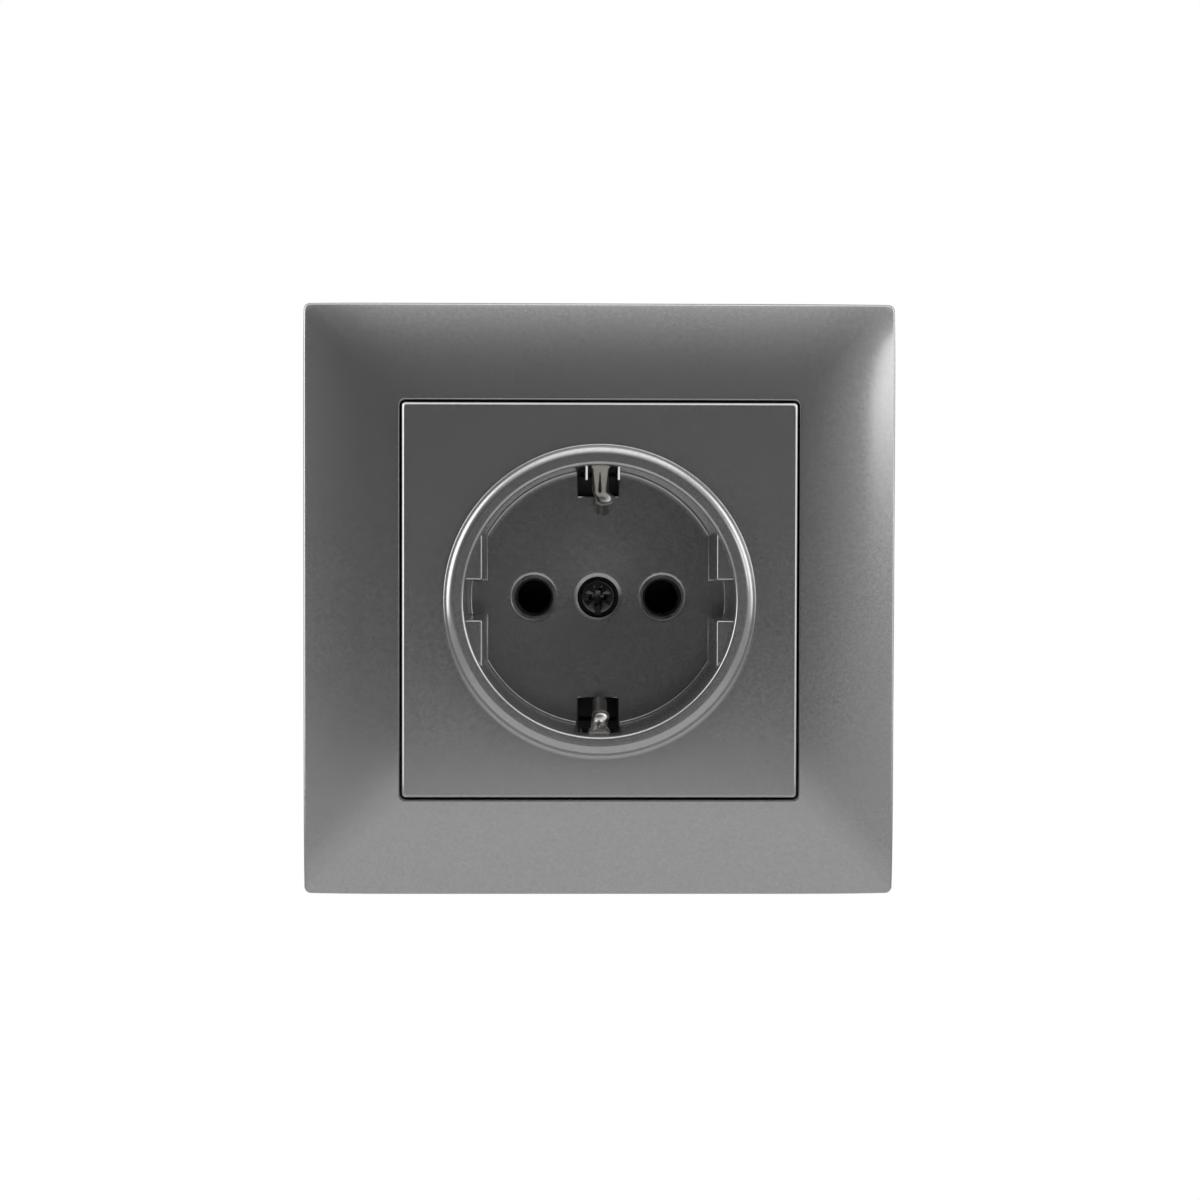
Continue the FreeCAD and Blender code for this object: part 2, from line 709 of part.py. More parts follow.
def make_terminals():
    """All clamping plates and terminal screws, two for each pole and two for earth."""
    nodes = {}
    for part, shape in terminal_pair().items():
        upper = shape.copy()
        upper.rotate(Vector(0, 0, 0), Vector(0, 1, 0), 90)
        upper.translate(Vector(tail_face, terminal_spacing / 2, terminal_level))
        nodes["right_upper_" + part] = upper
        nodes["right_lower_" + part] = mirrored_y(upper)
        nodes["left_upper_" + part] = mirrored_x(upper)
        nodes["left_lower_" + part] = half_turned(upper)
        earth = shape.copy()
        earth.rotate(Vector(0, 0, 0), Vector(1, 0, 0), -90)
        earth.translate(Vector(earth_leg_offset, leg_face, terminal_level))
        nodes["earth_upper_" + part] = earth
        nodes["earth_lower_" + part] = half_turned(earth)
    return nodes


def make_nodes():
    """Every piece by its name, in the drawing's own axes."""
    contact = make_contact()
    spring = make_contact_spring()
    rivet = make_rivet()
    nodes = {
        "cover_frame": make_cover_frame(),
        "centre_plate": make_centre_plate(),
        "centre_screw": make_centre_screw(),
        "support_plate": make_support_plate(),
        "socket_base": make_socket_base(),
        "contact_cover": make_contact_cover(),
        "earth_bracket": make_earth_bracket(),
        "right_contact": contact,
        "left_contact": mirrored_x(contact),
        "right_contact_spring": spring,
        "left_contact_spring": mirrored_x(spring),
        "right_rivet": rivet,
        "left_rivet": mirrored_x(rivet),
    }
    nodes.update(make_terminals())
    return nodes


os.makedirs("parts", exist_ok=True)
for name, shape in make_nodes().items():
    shape.rotate(Vector(0, 0, 0), Vector(1, 0, 0), 90)
    shape.exportStep("parts/" + name + ".step")
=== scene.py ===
# %% [markdown]
# # A type F wall socket in satin grey
#
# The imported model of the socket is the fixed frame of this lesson. Its solids are exact but have flat
# facets and plain edges. Here the pieces that a user sees are modelled again with true rounds, in the
# same place and of the same size, and every piece gets a finish of its own.

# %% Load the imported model
import bisect
import bmesh
import bpy
import math
from mathutils import Matrix, Vector


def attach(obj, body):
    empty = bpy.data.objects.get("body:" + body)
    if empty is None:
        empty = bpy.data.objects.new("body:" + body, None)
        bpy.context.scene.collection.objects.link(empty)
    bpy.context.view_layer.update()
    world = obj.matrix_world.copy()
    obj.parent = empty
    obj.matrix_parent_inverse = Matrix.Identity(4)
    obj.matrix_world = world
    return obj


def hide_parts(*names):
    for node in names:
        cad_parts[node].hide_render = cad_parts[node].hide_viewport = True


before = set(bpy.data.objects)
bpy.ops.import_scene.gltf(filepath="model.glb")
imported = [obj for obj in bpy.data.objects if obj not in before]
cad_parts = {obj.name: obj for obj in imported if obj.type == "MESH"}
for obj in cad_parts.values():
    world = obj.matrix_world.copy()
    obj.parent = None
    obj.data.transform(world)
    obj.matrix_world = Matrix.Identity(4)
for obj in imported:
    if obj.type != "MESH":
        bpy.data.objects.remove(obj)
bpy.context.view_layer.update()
MM = 0.001

# %% [markdown]
# ## The camera
#
# The photograph was taken from about a third of a metre, a little above and to the left of the socket's
# axis. A camera could be placed by eye, but this one was worked out from the corners of the frame, the
# ring and the pin holes, so that every depth in the recess lines up.

# %% Place the camera
CAMERA_PLACE = Vector((-5.363, -353.45, 10.355)) * MM
CAMERA_PAN, CAMERA_TILT, CAMERA_ROLL = -0.01575, -0.02993, 0.00226
SENSOR_WIDTH, FOCAL_PIXELS, PICTURE_PIXELS = 36.0, 2423.9, 1200.0
camera_turn = Matrix.Rotation(math.pi / 2, 3, "X") @ Matrix.Rotation(CAMERA_PAN, 3, "Y")
camera_turn = camera_turn @ Matrix.Rotation(CAMERA_TILT, 3, "X") @ Matrix.Rotation(CAMERA_ROLL, 3, "Z")
bpy.ops.object.select_all(action="DESELECT")
bpy.ops.object.camera_add(location=CAMERA_PLACE, rotation=camera_turn.to_euler())
camera = bpy.context.object
camera.name = "photo_camera"
camera.data.sensor_width = SENSOR_WIDTH
camera.data.lens = SENSOR_WIDTH * FOCAL_PIXELS / PICTURE_PIXELS
camera.data.clip_start = 0.01
bpy.context.scene.camera = camera
print("camera lens", round(camera.data.lens, 2), "mm")

# %% [markdown]
# ## Tools of the bench
#
# Sizes are written in millimetres: to the right, up, and out of the wall. Nearly every piece starts as a
# plane, a block or a cylinder, and its parts are then picked by their place, as one would click on them.

# %% Points, selections and picks


def at(x, up, out):
    """A point from millimetres to the right, up, and out of the wall."""
    return Vector((x * MM, -out * MM, up * MM))


def switch(mode):
    """Switches the active piece to EDIT or OBJECT mode."""
    bpy.ops.object.mode_set(mode=mode)


def clear_selection():
    """Leaves edit mode and deselects everything, because operators act on all that is selected."""
    if bpy.context.object and bpy.context.object.mode != "OBJECT":
        switch("OBJECT")
    bpy.ops.object.select_all(action="DESELECT")


def choose(*pieces):
    """Selects these pieces alone and makes the last of them the active one."""
    clear_selection()
    for piece in pieces:
        piece.select_set(True)
    bpy.context.view_layer.objects.active = pieces[-1]


def pick(kind, *tests, border=False):
    """Selects the vertices or edges whose corners all pass one of the tests of (x, up, out)."""
    bpy.ops.mesh.select_mode(type=kind)
    bpy.ops.mesh.select_all(action="DESELECT")
    mesh = bmesh.from_edit_mesh(bpy.context.object.data)
    found = 0
    for item in mesh.verts if kind == "VERT" else mesh.edges:
        if border and not item.is_boundary:
            continue
        corners = [item] if kind == "VERT" else item.verts
        places = [(v.co.x / MM, v.co.z / MM, -v.co.y / MM) for v in corners]
        if any(all(test(*place) for place in places) for test in tests):
            item.select_set(True)
            found += 1
    mesh.select_flush_mode()
    bmesh.update_edit_mesh(bpy.context.object.data)
    return found


def near(value, goal, slack=0.02):
    """True where two lengths in millimetres agree."""
    return abs(value - goal) < slack


def start_plane(name, side, out=0.0):
    """A square facing the room, open in edit mode, as the start of a piece."""
    clear_selection()
    bpy.ops.mesh.primitive_plane_add(size=side * MM, location=at(0, 0, out), rotation=(math.pi / 2, 0, 0))
    piece = bpy.context.object
    piece.name = name
    bpy.ops.object.transform_apply()
    switch("EDIT")
    return piece


print("bench ready")

# %% [markdown]
# Mouldings have rounded corners whose radius stays the same from rim to rim. Plain scaling would swell the
# corners, so a loop is spread instead: its straight runs stretch and its corners keep their radius.

# %% Loops of rounded squares
WELD = 0.001 * MM


def start_loop(name, half, radius, out, cuts, steps):
    """An open loop round a square with rounded corners, with its sides divided by cuts."""
    piece = start_plane(name, 2 * half, out)
    bpy.ops.mesh.select_all(action="SELECT")
    bpy.ops.mesh.bevel(offset=radius * MM, segments=steps, affect="VERTICES")
    bpy.ops.mesh.delete(type="ONLY_FACE")
    bpy.ops.mesh.select_mode(type="EDGE")
    mesh = bmesh.from_edit_mesh(piece.data)
    for edge in mesh.edges:
        edge.select_set(edge.calc_length() > half * MM)
    bmesh.update_edit_mesh(piece.data)
    bpy.ops.mesh.subdivide(number_cuts=cuts)
    bpy.ops.mesh.select_all(action="SELECT")
    return piece


def spread(length, half_from, half_to, radius):
    """Where a coordinate of a rounded square goes when the square grows and its corners don't."""
    run_from, run_to = half_from - radius, half_to - radius
    if abs(length) <= run_from:
        return length * run_to / run_from
    return math.copysign(abs(length) - half_from + half_to, length)


def add_loops(half_from, radius, loops):
    """Extrudes the selected loop through others, each with its half side and its level at (x, up)."""
    for half_to, level_to in loops:
        bpy.ops.mesh.extrude_edges_move()
        mesh = bmesh.from_edit_mesh(bpy.context.object.data)
        for vertex in mesh.verts:
            if vertex.select:
                x = spread(vertex.co.x / MM, half_from, half_to, radius)
                up = spread(vertex.co.z / MM, half_from, half_to, radius)
                vertex.co = at(x, up, level_to(x, up))
        bmesh.update_edit_mesh(bpy.context.object.data)
        half_from = half_to


def close_up():
    """Welds points that meet in the piece in edit mode, and turns every face outward."""
    bpy.ops.mesh.select_all(action="SELECT")
    bpy.ops.mesh.remove_doubles(threshold=WELD)
    bpy.ops.mesh.normals_make_consistent(inside=False)


def round_edges(test, radius, steps):
    """Rounds the edges that pass the test."""
    count = pick("EDGE", test)
    bpy.ops.mesh.bevel(offset=radius * MM, segments=steps, affect="EDGES", clamp_overlap=False)
    return count


print("loop tools ready")

# %% [markdown]
# Turned shapes, such as the raised ring and the recess, come from one outline that is spun round the
# socket's axis. The outline is drawn corner by corner, and a corner that is round on the real moulding is
# rounded before the spin.

# %% Turned shapes


def start_outline(name, corners):
    """Draws an outline in the plane of x and out from (radius, out, round, steps) corners."""
    piece = start_plane(name, 1.0)
    bpy.ops.mesh.select_mode(type="VERT")
    bpy.ops.mesh.merge(type="CENTER")
    last = Vector((0, 0, 0))
    for index, (radius, out, _, _) in enumerate(corners):
        point = at(radius, 0, out)
        if index:
            bpy.ops.mesh.extrude_vertices_move(TRANSFORM_OT_translate={"value": point - last})
        else:
            bpy.ops.transform.translate(value=point)
        last = point
    for before, corner, after in zip(corners, corners[1:], corners[2:]):
        radius, out, fillet, steps = corner
        if fillet:
            incoming = Vector((radius - before[0], out - before[1]))
            outgoing = Vector((after[0] - radius, after[1] - out))
            setback = fillet * math.tan(incoming.angle(outgoing) / 2)
            pick("VERT", lambda x, up, level: near(x, radius, 0.001) and near(level, out, 0.001))
            bpy.ops.mesh.bevel(offset=setback * MM, segments=steps, affect="VERTICES")
    return piece


def spin_outline(steps, x=0.0):
    """Spins the outline in edit mode once round the axis, and closes the seam and the poles."""
    bpy.ops.mesh.select_all(action="SELECT")
    bpy.ops.mesh.spin(steps=steps, angle=2 * math.pi, center=(0, 0, 0), axis=(0, 1, 0))
    close_up()
    if x:
        bpy.ops.transform.translate(value=at(x, 0, 0))


print("lathe ready")

# %% [markdown]
# A piece is finished by joining or cutting with others, by smoothing its shading where faces meet gently,
# and by letting large flat faces keep their own direction beside small rounds. Then it rides on the one
# body that the socket has, in place of the plain solid.

# %% Joining, cutting and finishing


def apply_modifier(piece, kind, **settings):
    """Adds a modifier and applies it at once."""
    choose(piece)
    modifier = piece.modifiers.new(kind.title(), kind)
    for key, value in settings.items():
        setattr(modifier, key, value)
    bpy.ops.object.modifier_apply(modifier=modifier.name)


def soften(piece, radius, steps, angle):
    """Rounds every edge of a piece that is sharper than an angle."""
    apply_modifier(piece, "BEVEL", width=radius * MM, segments=steps, limit_method="ANGLE",
                   angle_limit=math.radians(angle))


def combine(piece, tools, operation):
    """Joins tools to a piece (UNION) or cuts them out of it (DIFFERENCE), and removes the tools."""
    for tool in tools:
        apply_modifier(piece, "BOOLEAN", object=tool, operation=operation, solver="EXACT")
        bpy.data.objects.remove(tool, do_unlink=True)


def smooth(piece, angle=32.0):
    """Smooth shading that breaks at real edges and stays flat on flats."""
    choose(piece)
    bpy.ops.object.shade_smooth_by_angle(angle=math.radians(angle))
    apply_modifier(piece, "WEIGHTED_NORMAL", keep_sharp=True, weight=60)


def open_edges(piece):
    """How many edges don't lie between exactly two faces; none on a closed piece."""
    mesh = bmesh.new()
    mesh.from_mesh(piece.data)
    count = sum(not edge.is_manifold for edge in mesh.edges)
    mesh.free()
    return count


def settle(piece, finish, node):
    """Gives a finished piece its finish and its body, and hides the node it stands for."""
    clear_selection()
    piece.data.materials.clear()
    piece.data.materials.append(finish)
    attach(piece, "root")
    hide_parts(node)
    print(piece.name, len(piece.data.polygons), "faces,", open_edges(piece), "open edges, stands for", node)


print("finishing tools ready")

# %% [markdown]
# ## Shader sums in plain Python
#
# Finishes are made of numbers that change over a surface. A small class wraps a node's socket so that
# ordinary signs work on it: 1 - grain adds the node that takes grain from one. Every other kind of node
# comes from one method, which sets the node up and links its sockets.

# %% Sockets that can be added and multiplied


class Amount:
    """A number on a surface: the output of a node in one finish."""

    def __init__(self, finish, socket):
        self.finish = finish
        self.socket = socket

    def sum_with(self, operation, first, second):
        return self.finish.node("ShaderNodeMath", {"operation": operation}, {0: first, 1: second})

    def __add__(self, other):
        return self.sum_with("ADD", self, other)

    __radd__ = __add__

    def __sub__(self, other):
        return self.sum_with("SUBTRACT", self, other)

    def __rsub__(self, other):
        return self.sum_with("SUBTRACT", other, self)

    def __mul__(self, other):
        return self.sum_with("MULTIPLY", self, other)

    __rmul__ = __mul__

    def __abs__(self):
        return self.finish.node("ShaderNodeMath", {"operation": "ABSOLUTE"}, {0: self})


class Finish:
    """The nodes of a material or of the world, and the one method that makes any of them."""

    def __init__(self, owner):
        self.owner = owner
        owner.use_nodes = True
        self.tree = owner.node_tree
        self.tree.nodes.clear()

    def node(self, kind, settings, inputs, output=0):
        made = self.tree.nodes.new(kind)
        for key, value in settings.items():
            setattr(made, key, value)
        for key, value in inputs.items():
            if isinstance(value, Amount):
                self.tree.links.new(value.socket, made.inputs[key])
            else:
                made.inputs[key].default_value = value
        return Amount(self, made.outputs[output]) if made.outputs else None

    def place(self, space="Object"):
        """The point on the piece in metres; in the world, Generated is the direction looked in."""
        return self.node("ShaderNodeTexCoord", {}, {}, space)

    def part(self, axis, space="Object"):
        """One number of that point: X to the right, Y into the wall or Z up."""
        return self.node("ShaderNodeSeparateXYZ", {}, {0: self.place(space)}, axis)

    def noise(self, size, detail=2.0, roughness=0.5):
        """Cloudy grain of a size in millimetres, between 0 and 1."""
        inputs = {"Vector": self.place(), "Scale": 1 / (size * MM), "Detail": detail, "Roughness": roughness}
        return self.node("ShaderNodeTexNoise", {"noise_dimensions": "3D"}, inputs, "Fac")

    def flakes(self, size):
        """Cells of a size in millimetres, each with a brightness of its own between 0 and 1."""
        inputs = {"Vector": self.place(), "Scale": 1 / (size * MM)}
        colour = self.node("ShaderNodeTexVoronoi", {"feature": "F1"}, inputs, "Color")
        return self.node("ShaderNodeSeparateColor", {}, {"Color": colour}, 0)

    def rise(self, value, low, high):
        """Goes smoothly from 0 to 1 while a value goes from low to high."""
        ends = {0: value, 1: low, 2: high}
        return self.node("ShaderNodeMapRange", {"interpolation_type": "SMOOTHSTEP"}, ends)

    def blend(self, amount, first, second):
        """A colour between two colours."""
        ends = [(*end, 1) if isinstance(end, tuple) else end for end in (first, second)]
        return self.node("ShaderNodeMix", {"data_type": "RGBA"}, {0: amount, 6: ends[0], 7: ends[1]}, 2)

    def bump(self, height, depth):
        """A surface direction from a height between 0 and 1, over a depth in millimetres."""
        inputs = {"Strength": 1.0, "Distance": depth * MM, "Height": height}
        return self.node("ShaderNodeBump", {}, inputs, "Normal")

    def painted_on(self, name):
        """A number that was stored on the vertices of the piece under a name."""
        return self.node("ShaderNodeAttribute", {"attribute_name": name}, {}, "Fac")

    def shade(self, **inputs):
        """Ends the finish with the shader and its sockets."""
        names = {key.replace("_", " "): value for key, value in inputs.items()}
        shader = self.node("ShaderNodeBsdfPrincipled", {}, names, "BSDF")
        self.node("ShaderNodeOutputMaterial", {}, {"Surface": shader})
        return self.owner


def start_finish(name):
    """An empty material, ready for its nodes."""
    return Finish(bpy.data.materials.new(name))


print("shader sums ready")

# %% [markdown]
# ## Satin grey lacquer
#
# The frame and the centre plate are black plastic under a sprayed lacquer. The narrow gap between the two and
# the underside of the recess get painted shade: the lacquer turns to black plastic there, so the gap is a
# black line. Both places are found here from the point's own position, so that one finish does for both
# pieces.

# %% Find where the painted shade goes
# Painted shade: the lacquer turns black in the gap between frame and plate and deeper than the recess floor.
PAINTED_SHADE_DEPTH = (-6.7 * MM, -6.2 * MM)
GAP_STARTS, GAP_ENDS, GAP_FRONT = (27.9 * MM, 27.98 * MM), (28.4 * MM, 28.48 * MM), (9.2 * MM, 9.4 * MM)
lacquer = start_finish("satin_grey_lacquer")
lacquer_out = 0 - lacquer.part("Y")
sides = {0: abs(lacquer.part("X")), 1: abs(lacquer.part("Z"))}
half_square = lacquer.node("ShaderNodeMath", {"operation": "MAXIMUM"}, sides)
painted_gap_shade = lacquer.rise(half_square, *GAP_STARTS) * (1 - lacquer.rise(half_square, *GAP_ENDS))
painted_gap_shade = painted_gap_shade * (1 - lacquer.rise(lacquer_out, *GAP_FRONT))
unshaded = lacquer.rise(lacquer_out, *PAINTED_SHADE_DEPTH) * (1 - painted_gap_shade)
print("found the sprayed surface")

# %% [markdown]
# The lacquer's fine aluminium flakes make it mirror the room softly, brighter or darker with the light
# around it. A photograph of flakes could be laid on, but cells of two sizes that each have a tone of their
# own work at any distance. A faint haze and a very fine bump break up the reflection.

# %% Make the lacquer
FINE_FLAKE, COARSE_FLAKE, FINE_SHARE = 0.11, 0.27, 0.55
# The darkest colour here is both the painted shade in the gap and under the recess, and the contact cover's
# own black plastic.
DARK_FLAKE, LIGHT_FLAKE, BLACK_PLASTIC_AND_SHADE = (0.30, 0.303, 0.302), (0.38, 0.383, 0.381), (0.012, 0.012, 0.013)
HAZE_SIZE, ORANGE_PEEL, PEEL_DEPTH = 9.0, 0.16, 0.0004
SATIN, SATIN_CHANGE, FLAKE_METAL = 0.18, 0.03, 0.78
fine_flakes, coarse_flakes = lacquer.flakes(FINE_FLAKE), lacquer.flakes(COARSE_FLAKE)
haze = lacquer.noise(HAZE_SIZE, detail=3.0)
flake_tone = fine_flakes * FINE_SHARE + coarse_flakes * (1 - FINE_SHARE)
# Painted shade: black in the gap and under the recess floor, lacquer everywhere else.
lacquer_colour = lacquer.blend(unshaded, BLACK_PLASTIC_AND_SHADE, lacquer.blend(flake_tone, DARK_FLAKE, LIGHT_FLAKE))
lacquer_finish = lacquer.shade(
    Base_Color=lacquer_colour,
    Metallic=unshaded * FLAKE_METAL,
    Roughness=SATIN + (haze - 0.5) * SATIN_CHANGE + (coarse_flakes - 0.5) * SATIN_CHANGE,
    Normal=lacquer.bump(lacquer.noise(ORANGE_PEEL, detail=3.0), PEEL_DEPTH),
    Coat_Weight=0.12, Coat_Roughness=0.25)
print("made", lacquer_finish.name)

# %% [markdown]
# ## Black mouldings and plain metals
#
# Behind the face there are black mouldings with the pitted texture of an eroded mould, zinc plated steel
# with a cloudy sheen, spring steel, and darker hardened steel for the screw. They differ only in tone,
# roughness and grain, so two recipes make them all.

# %% Make the mouldings and plain metals
CLOUD_SIZE, GRAIN_SIZE = 2.6, 0.3


def make_moulding(name, colour, roughness):
    """Black plastic with the fine pitted texture of an eroded mould."""
    finish = start_finish(name)
    pits = finish.noise(0.25, detail=3.0)
    clouds = finish.noise(7.0)
    tone = finish.blend(clouds, colour, tuple(1.35 * part for part in colour))
    rough = roughness + (clouds - 0.5) * 0.12
    return finish.shade(Base_Color=tone, Roughness=rough, Normal=finish.bump(pits, 0.012))


def make_metal(name, dark, light, roughness, grain_size, grain_depth):
    """Plated or bare metal with a cloudy sheen and fine grain."""
    finish = start_finish(name)
    clouds = finish.noise(CLOUD_SIZE, detail=4.0, roughness=0.6)
    grain = finish.bump(finish.noise(grain_size), grain_depth)
    rough = roughness + (clouds - 0.5) * 0.16
    tone = finish.blend(clouds, dark, light)
    return finish.shade(Base_Color=tone, Metallic=1.0, Roughness=rough, Normal=grain)


base_finish = make_moulding("black_moulding", (0.022, 0.022, 0.024), 0.5)
cover_finish = make_moulding("insulating_moulding", BLACK_PLASTIC_AND_SHADE, 0.6)
zinc_finish = make_metal("zinc_plated_steel", (0.46, 0.47, 0.49), (0.66, 0.67, 0.67), 0.32, GRAIN_SIZE, 0.004)
spring_finish = make_metal("spring_steel", (0.36, 0.36, 0.37), (0.50, 0.50, 0.51), 0.25, GRAIN_SIZE, 0.003)
screw_finish = make_metal("dark_screw_steel", (0.055, 0.055, 0.057), (0.10, 0.10, 0.103), 0.2, 0.2, 0.0008)
print("made", base_finish.name, cover_finish.name, zinc_finish.name, spring_finish.name, screw_finish.name)

# %% [markdown]
# ## Metals that change along the piece
#
# The earth strap has painted light and shade: it is bright only where its upper end stands in the light, and
# nearly black further in. The fingers are nickel with a painted highlight on their noses and painted shade in
# their grooves. Both are stored on a finger's vertices when it is bent. Maps painted by hand would do the
# same, but would have to be painted again after each change of shape.

# %% Make the strap and the fingers' nickel
# Painted light on the strap: bright towards its upper front end, painted shade, nearly black, further in and
# lower down.
STRAP_LIT_OUT, STRAP_LIT_UP = (-1.0 * MM, 3.0 * MM), (-5.0 * MM, 5.0 * MM)
strap = start_finish("strap_with_painted_light")
strap_painted_light = strap.rise(0 - strap.part("Y"), *STRAP_LIT_OUT) * strap.rise(strap.part("Z"), *STRAP_LIT_UP)
strap_shade_tone = strap.blend(strap.noise(CLOUD_SIZE, detail=4.0), (0.02, 0.017, 0.016), (0.05, 0.042, 0.038))
strap_tone = strap.blend(strap_painted_light, strap_shade_tone, (0.86, 0.85, 0.83))
strap_finish = strap.shade(Base_Color=strap_tone, Metallic=1.0, Roughness=0.5 - strap_painted_light * 0.25)
nickel = start_finish("nickel_on_bronze")
# Two numbers stored on a finger: painted shade in its groove, hollow, tip and lower fold, and a painted
# highlight on its nose.
painted_shade, painted_highlight = nickel.painted_on("painted_shade"), nickel.painted_on("painted_highlight")
nickel_clouds = nickel.noise(1.2, detail=4.0)
worn_tone = nickel.blend(nickel_clouds, (0.22, 0.205, 0.18), (0.31, 0.295, 0.27))
# Painted highlight: the nickel is brightened almost to white on the nose and on the lower finger's back.
highlighted_tone = nickel.blend(painted_highlight, worn_tone, (0.97, 0.96, 0.94))
nickel_finish = nickel.shade(
    Base_Color=nickel.blend(painted_shade, highlighted_tone, (0.004, 0.004, 0.004)), Metallic=1.0,
    Roughness=0.24 - painted_highlight * 0.06 + (nickel_clouds - 0.5) * 0.1,
    Normal=nickel.bump(nickel.noise(0.18), 0.002))
print("made", strap_finish.name, nickel_finish.name)

# %% [markdown]
# The brass sleeves are bright outside, where their tails carry the terminals. Inside, and at the end that
# faces the room, they get painted shade, nearly black, so that one looks into black pin holes. The distance
# from the axis of the nearer pin tells inside from outside.

# %% Make the brass
PIN_X = 9.5
SLEEVE_WALL, SLEEVE_FRONT = (2.75 * MM, 2.85 * MM), (-14.0 * MM, -10.5 * MM)
brass = start_finish("contact_brass")
from_pin, brass_up = abs(brass.part("X")) - PIN_X * MM, brass.part("Z")
from_axis_squared = from_pin * from_pin + brass_up * brass_up
inside = 1 - brass.rise(from_axis_squared, *(wall ** 2 for wall in SLEEVE_WALL))
# Painted shade: the sleeves turn nearly black inside and at their front end.
sleeve_shade = inside + brass.rise(0 - brass.part("Y"), *SLEEVE_FRONT) * (1 - inside)
bright_brass = brass.blend(brass.noise(CLOUD_SIZE, detail=4.0), (0.63, 0.45, 0.19), (0.80, 0.63, 0.33))
brass_finish = brass.shade(
    Base_Color=brass.blend(sleeve_shade, bright_brass, (0.02, 0.016, 0.012)), Metallic=1.0,
    Roughness=0.28 + sleeve_shade * 0.3, Normal=brass.bump(brass.noise(GRAIN_SIZE), 0.004))
print("made", brass_finish.name)

# %% [markdown]
# ## The cover frame
#
# The frame is one smooth cushion: almost flat beside the centre plate, falling away faster towards its edge,
# with four sides that blend softly at the corners. Its front follows a formula, so the loops of a rounded
# square are set on it one after another. A sculpted plate would come close, but its highlights would waver.
# The same loops go on round the edge, into the hollow back and up the opening.

# %% Loop by loop round the frame
FRAME_HALF, FRAME_EDGE, FRAME_CROWN, CROWN_REACH = 42.5, 6.3, 4.0, 43.8
CROWN_POWER, CORNER_POWER = 4, 10
FRAME_FRONT_HALF, FRAME_CORNER, FRAME_CUTS, FRAME_STEPS = 42.3, 0.9, 35, 6
OPENING_HALF, LIP_HALF, COLLAR_HALF, CAVITY_HALF = 28.38, 26.8, 29.9, 40.5
LIP_FRONT, LIP_BACK, WALL_TOP, ROOF_TOP = 6.0, 4.6, 4.3, 7.5
FRONT_HALVES = (28.7, 29.6, 30.8, 32.0, 33.2, 34.4, 35.6, 36.8, 38.0, 39.0, 40.0, 40.8, 41.5)


def crown(x, up):
    """How far the frame's front stands out of the wall; the higher CORNER_POWER, the sharper its corners."""
    fall = (x / CROWN_REACH) ** CORNER_POWER + (up / CROWN_REACH) ** CORNER_POWER
    return FRAME_EDGE + FRAME_CROWN * (1 - fall ** (CROWN_POWER / CORNER_POWER))


def level(out):
    """A flat loop at one distance out of the wall."""
    return lambda x, up: out


frame_loops = [(half, crown) for half in (*FRONT_HALVES, FRAME_FRONT_HALF)]
frame_loops += [(FRAME_HALF, level(0)), (CAVITY_HALF, level(0)), (CAVITY_HALF, level(WALL_TOP))]
frame_loops += [(COLLAR_HALF, level(ROOF_TOP)), (COLLAR_HALF, level(LIP_BACK)), (LIP_HALF, level(LIP_BACK))]
frame_loops += [(LIP_HALF, level(LIP_FRONT)), (OPENING_HALF, level(LIP_FRONT)), (OPENING_HALF, crown)]
cover_frame = start_loop("cover_frame_moulding", OPENING_HALF, FRAME_CORNER, 0.0, FRAME_CUTS, FRAME_STEPS)
frame_mesh = bmesh.from_edit_mesh(cover_frame.data)
for vertex in frame_mesh.verts:
    vertex.co.y = -crown(vertex.co.x / MM, vertex.co.z / MM) * MM
bmesh.update_edit_mesh(cover_frame.data)
add_loops(OPENING_HALF, FRAME_CORNER, frame_loops)
close_up()
print("frame has", len(bmesh.from_edit_mesh(cover_frame.data).faces), "faces")

# %% [markdown]
# The rim is then rounded, which gives the fine bright line all round the frame, and the opening gets a
# smaller round. Short ribs stiffen the hollow back of such frames. They are blocks whose outer end is
# lowered under the sloping roof, turned about the socket's axis to all four sides.

# %% Round the rims and add the ribs
RIM_ROUND, RIM_STEPS, OPENING_ROUND, OPENING_STEPS = 0.35, 5, 0.26, 4
RIB_PLACES, RIB_HALF, RIB_LENGTH, RIB_MIDDLE, RIB_DEPTH, RIB_FALL = (-20.0, 20.0), 0.6, 11.4, 35.2, 3.6, 2.6


def on_loop(x, up, half):
    """True on a rounded square of that half side."""
    beyond = [max(abs(length) - half + FRAME_CORNER, 0) for length in (x, up)]
    return near(math.hypot(*beyond), FRAME_CORNER)


def make_frame_rib(place, turn):
    """One rib at a place along a side of the frame, turned to that side by quarter turns."""
    middle = LIP_BACK + RIB_DEPTH / 2
    clear_selection()
    bpy.ops.mesh.primitive_cube_add(size=1.0)
    rib = bpy.context.object
    rib.scale = (2 * RIB_HALF * MM, RIB_DEPTH * MM, RIB_LENGTH * MM)
    rib.location = at(place, RIB_MIDDLE, middle)
    bpy.ops.object.transform_apply()
    switch("EDIT")
    pick("VERT", lambda x, up, out: up > RIB_MIDDLE and out > middle)
    bpy.ops.transform.translate(value=at(0, 0, -RIB_FALL))
    bpy.ops.mesh.select_all(action="SELECT")
    bpy.ops.transform.rotate(value=turn * math.pi / 2, orient_axis="Y", center_override=(0, 0, 0))
    switch("OBJECT")
    return rib


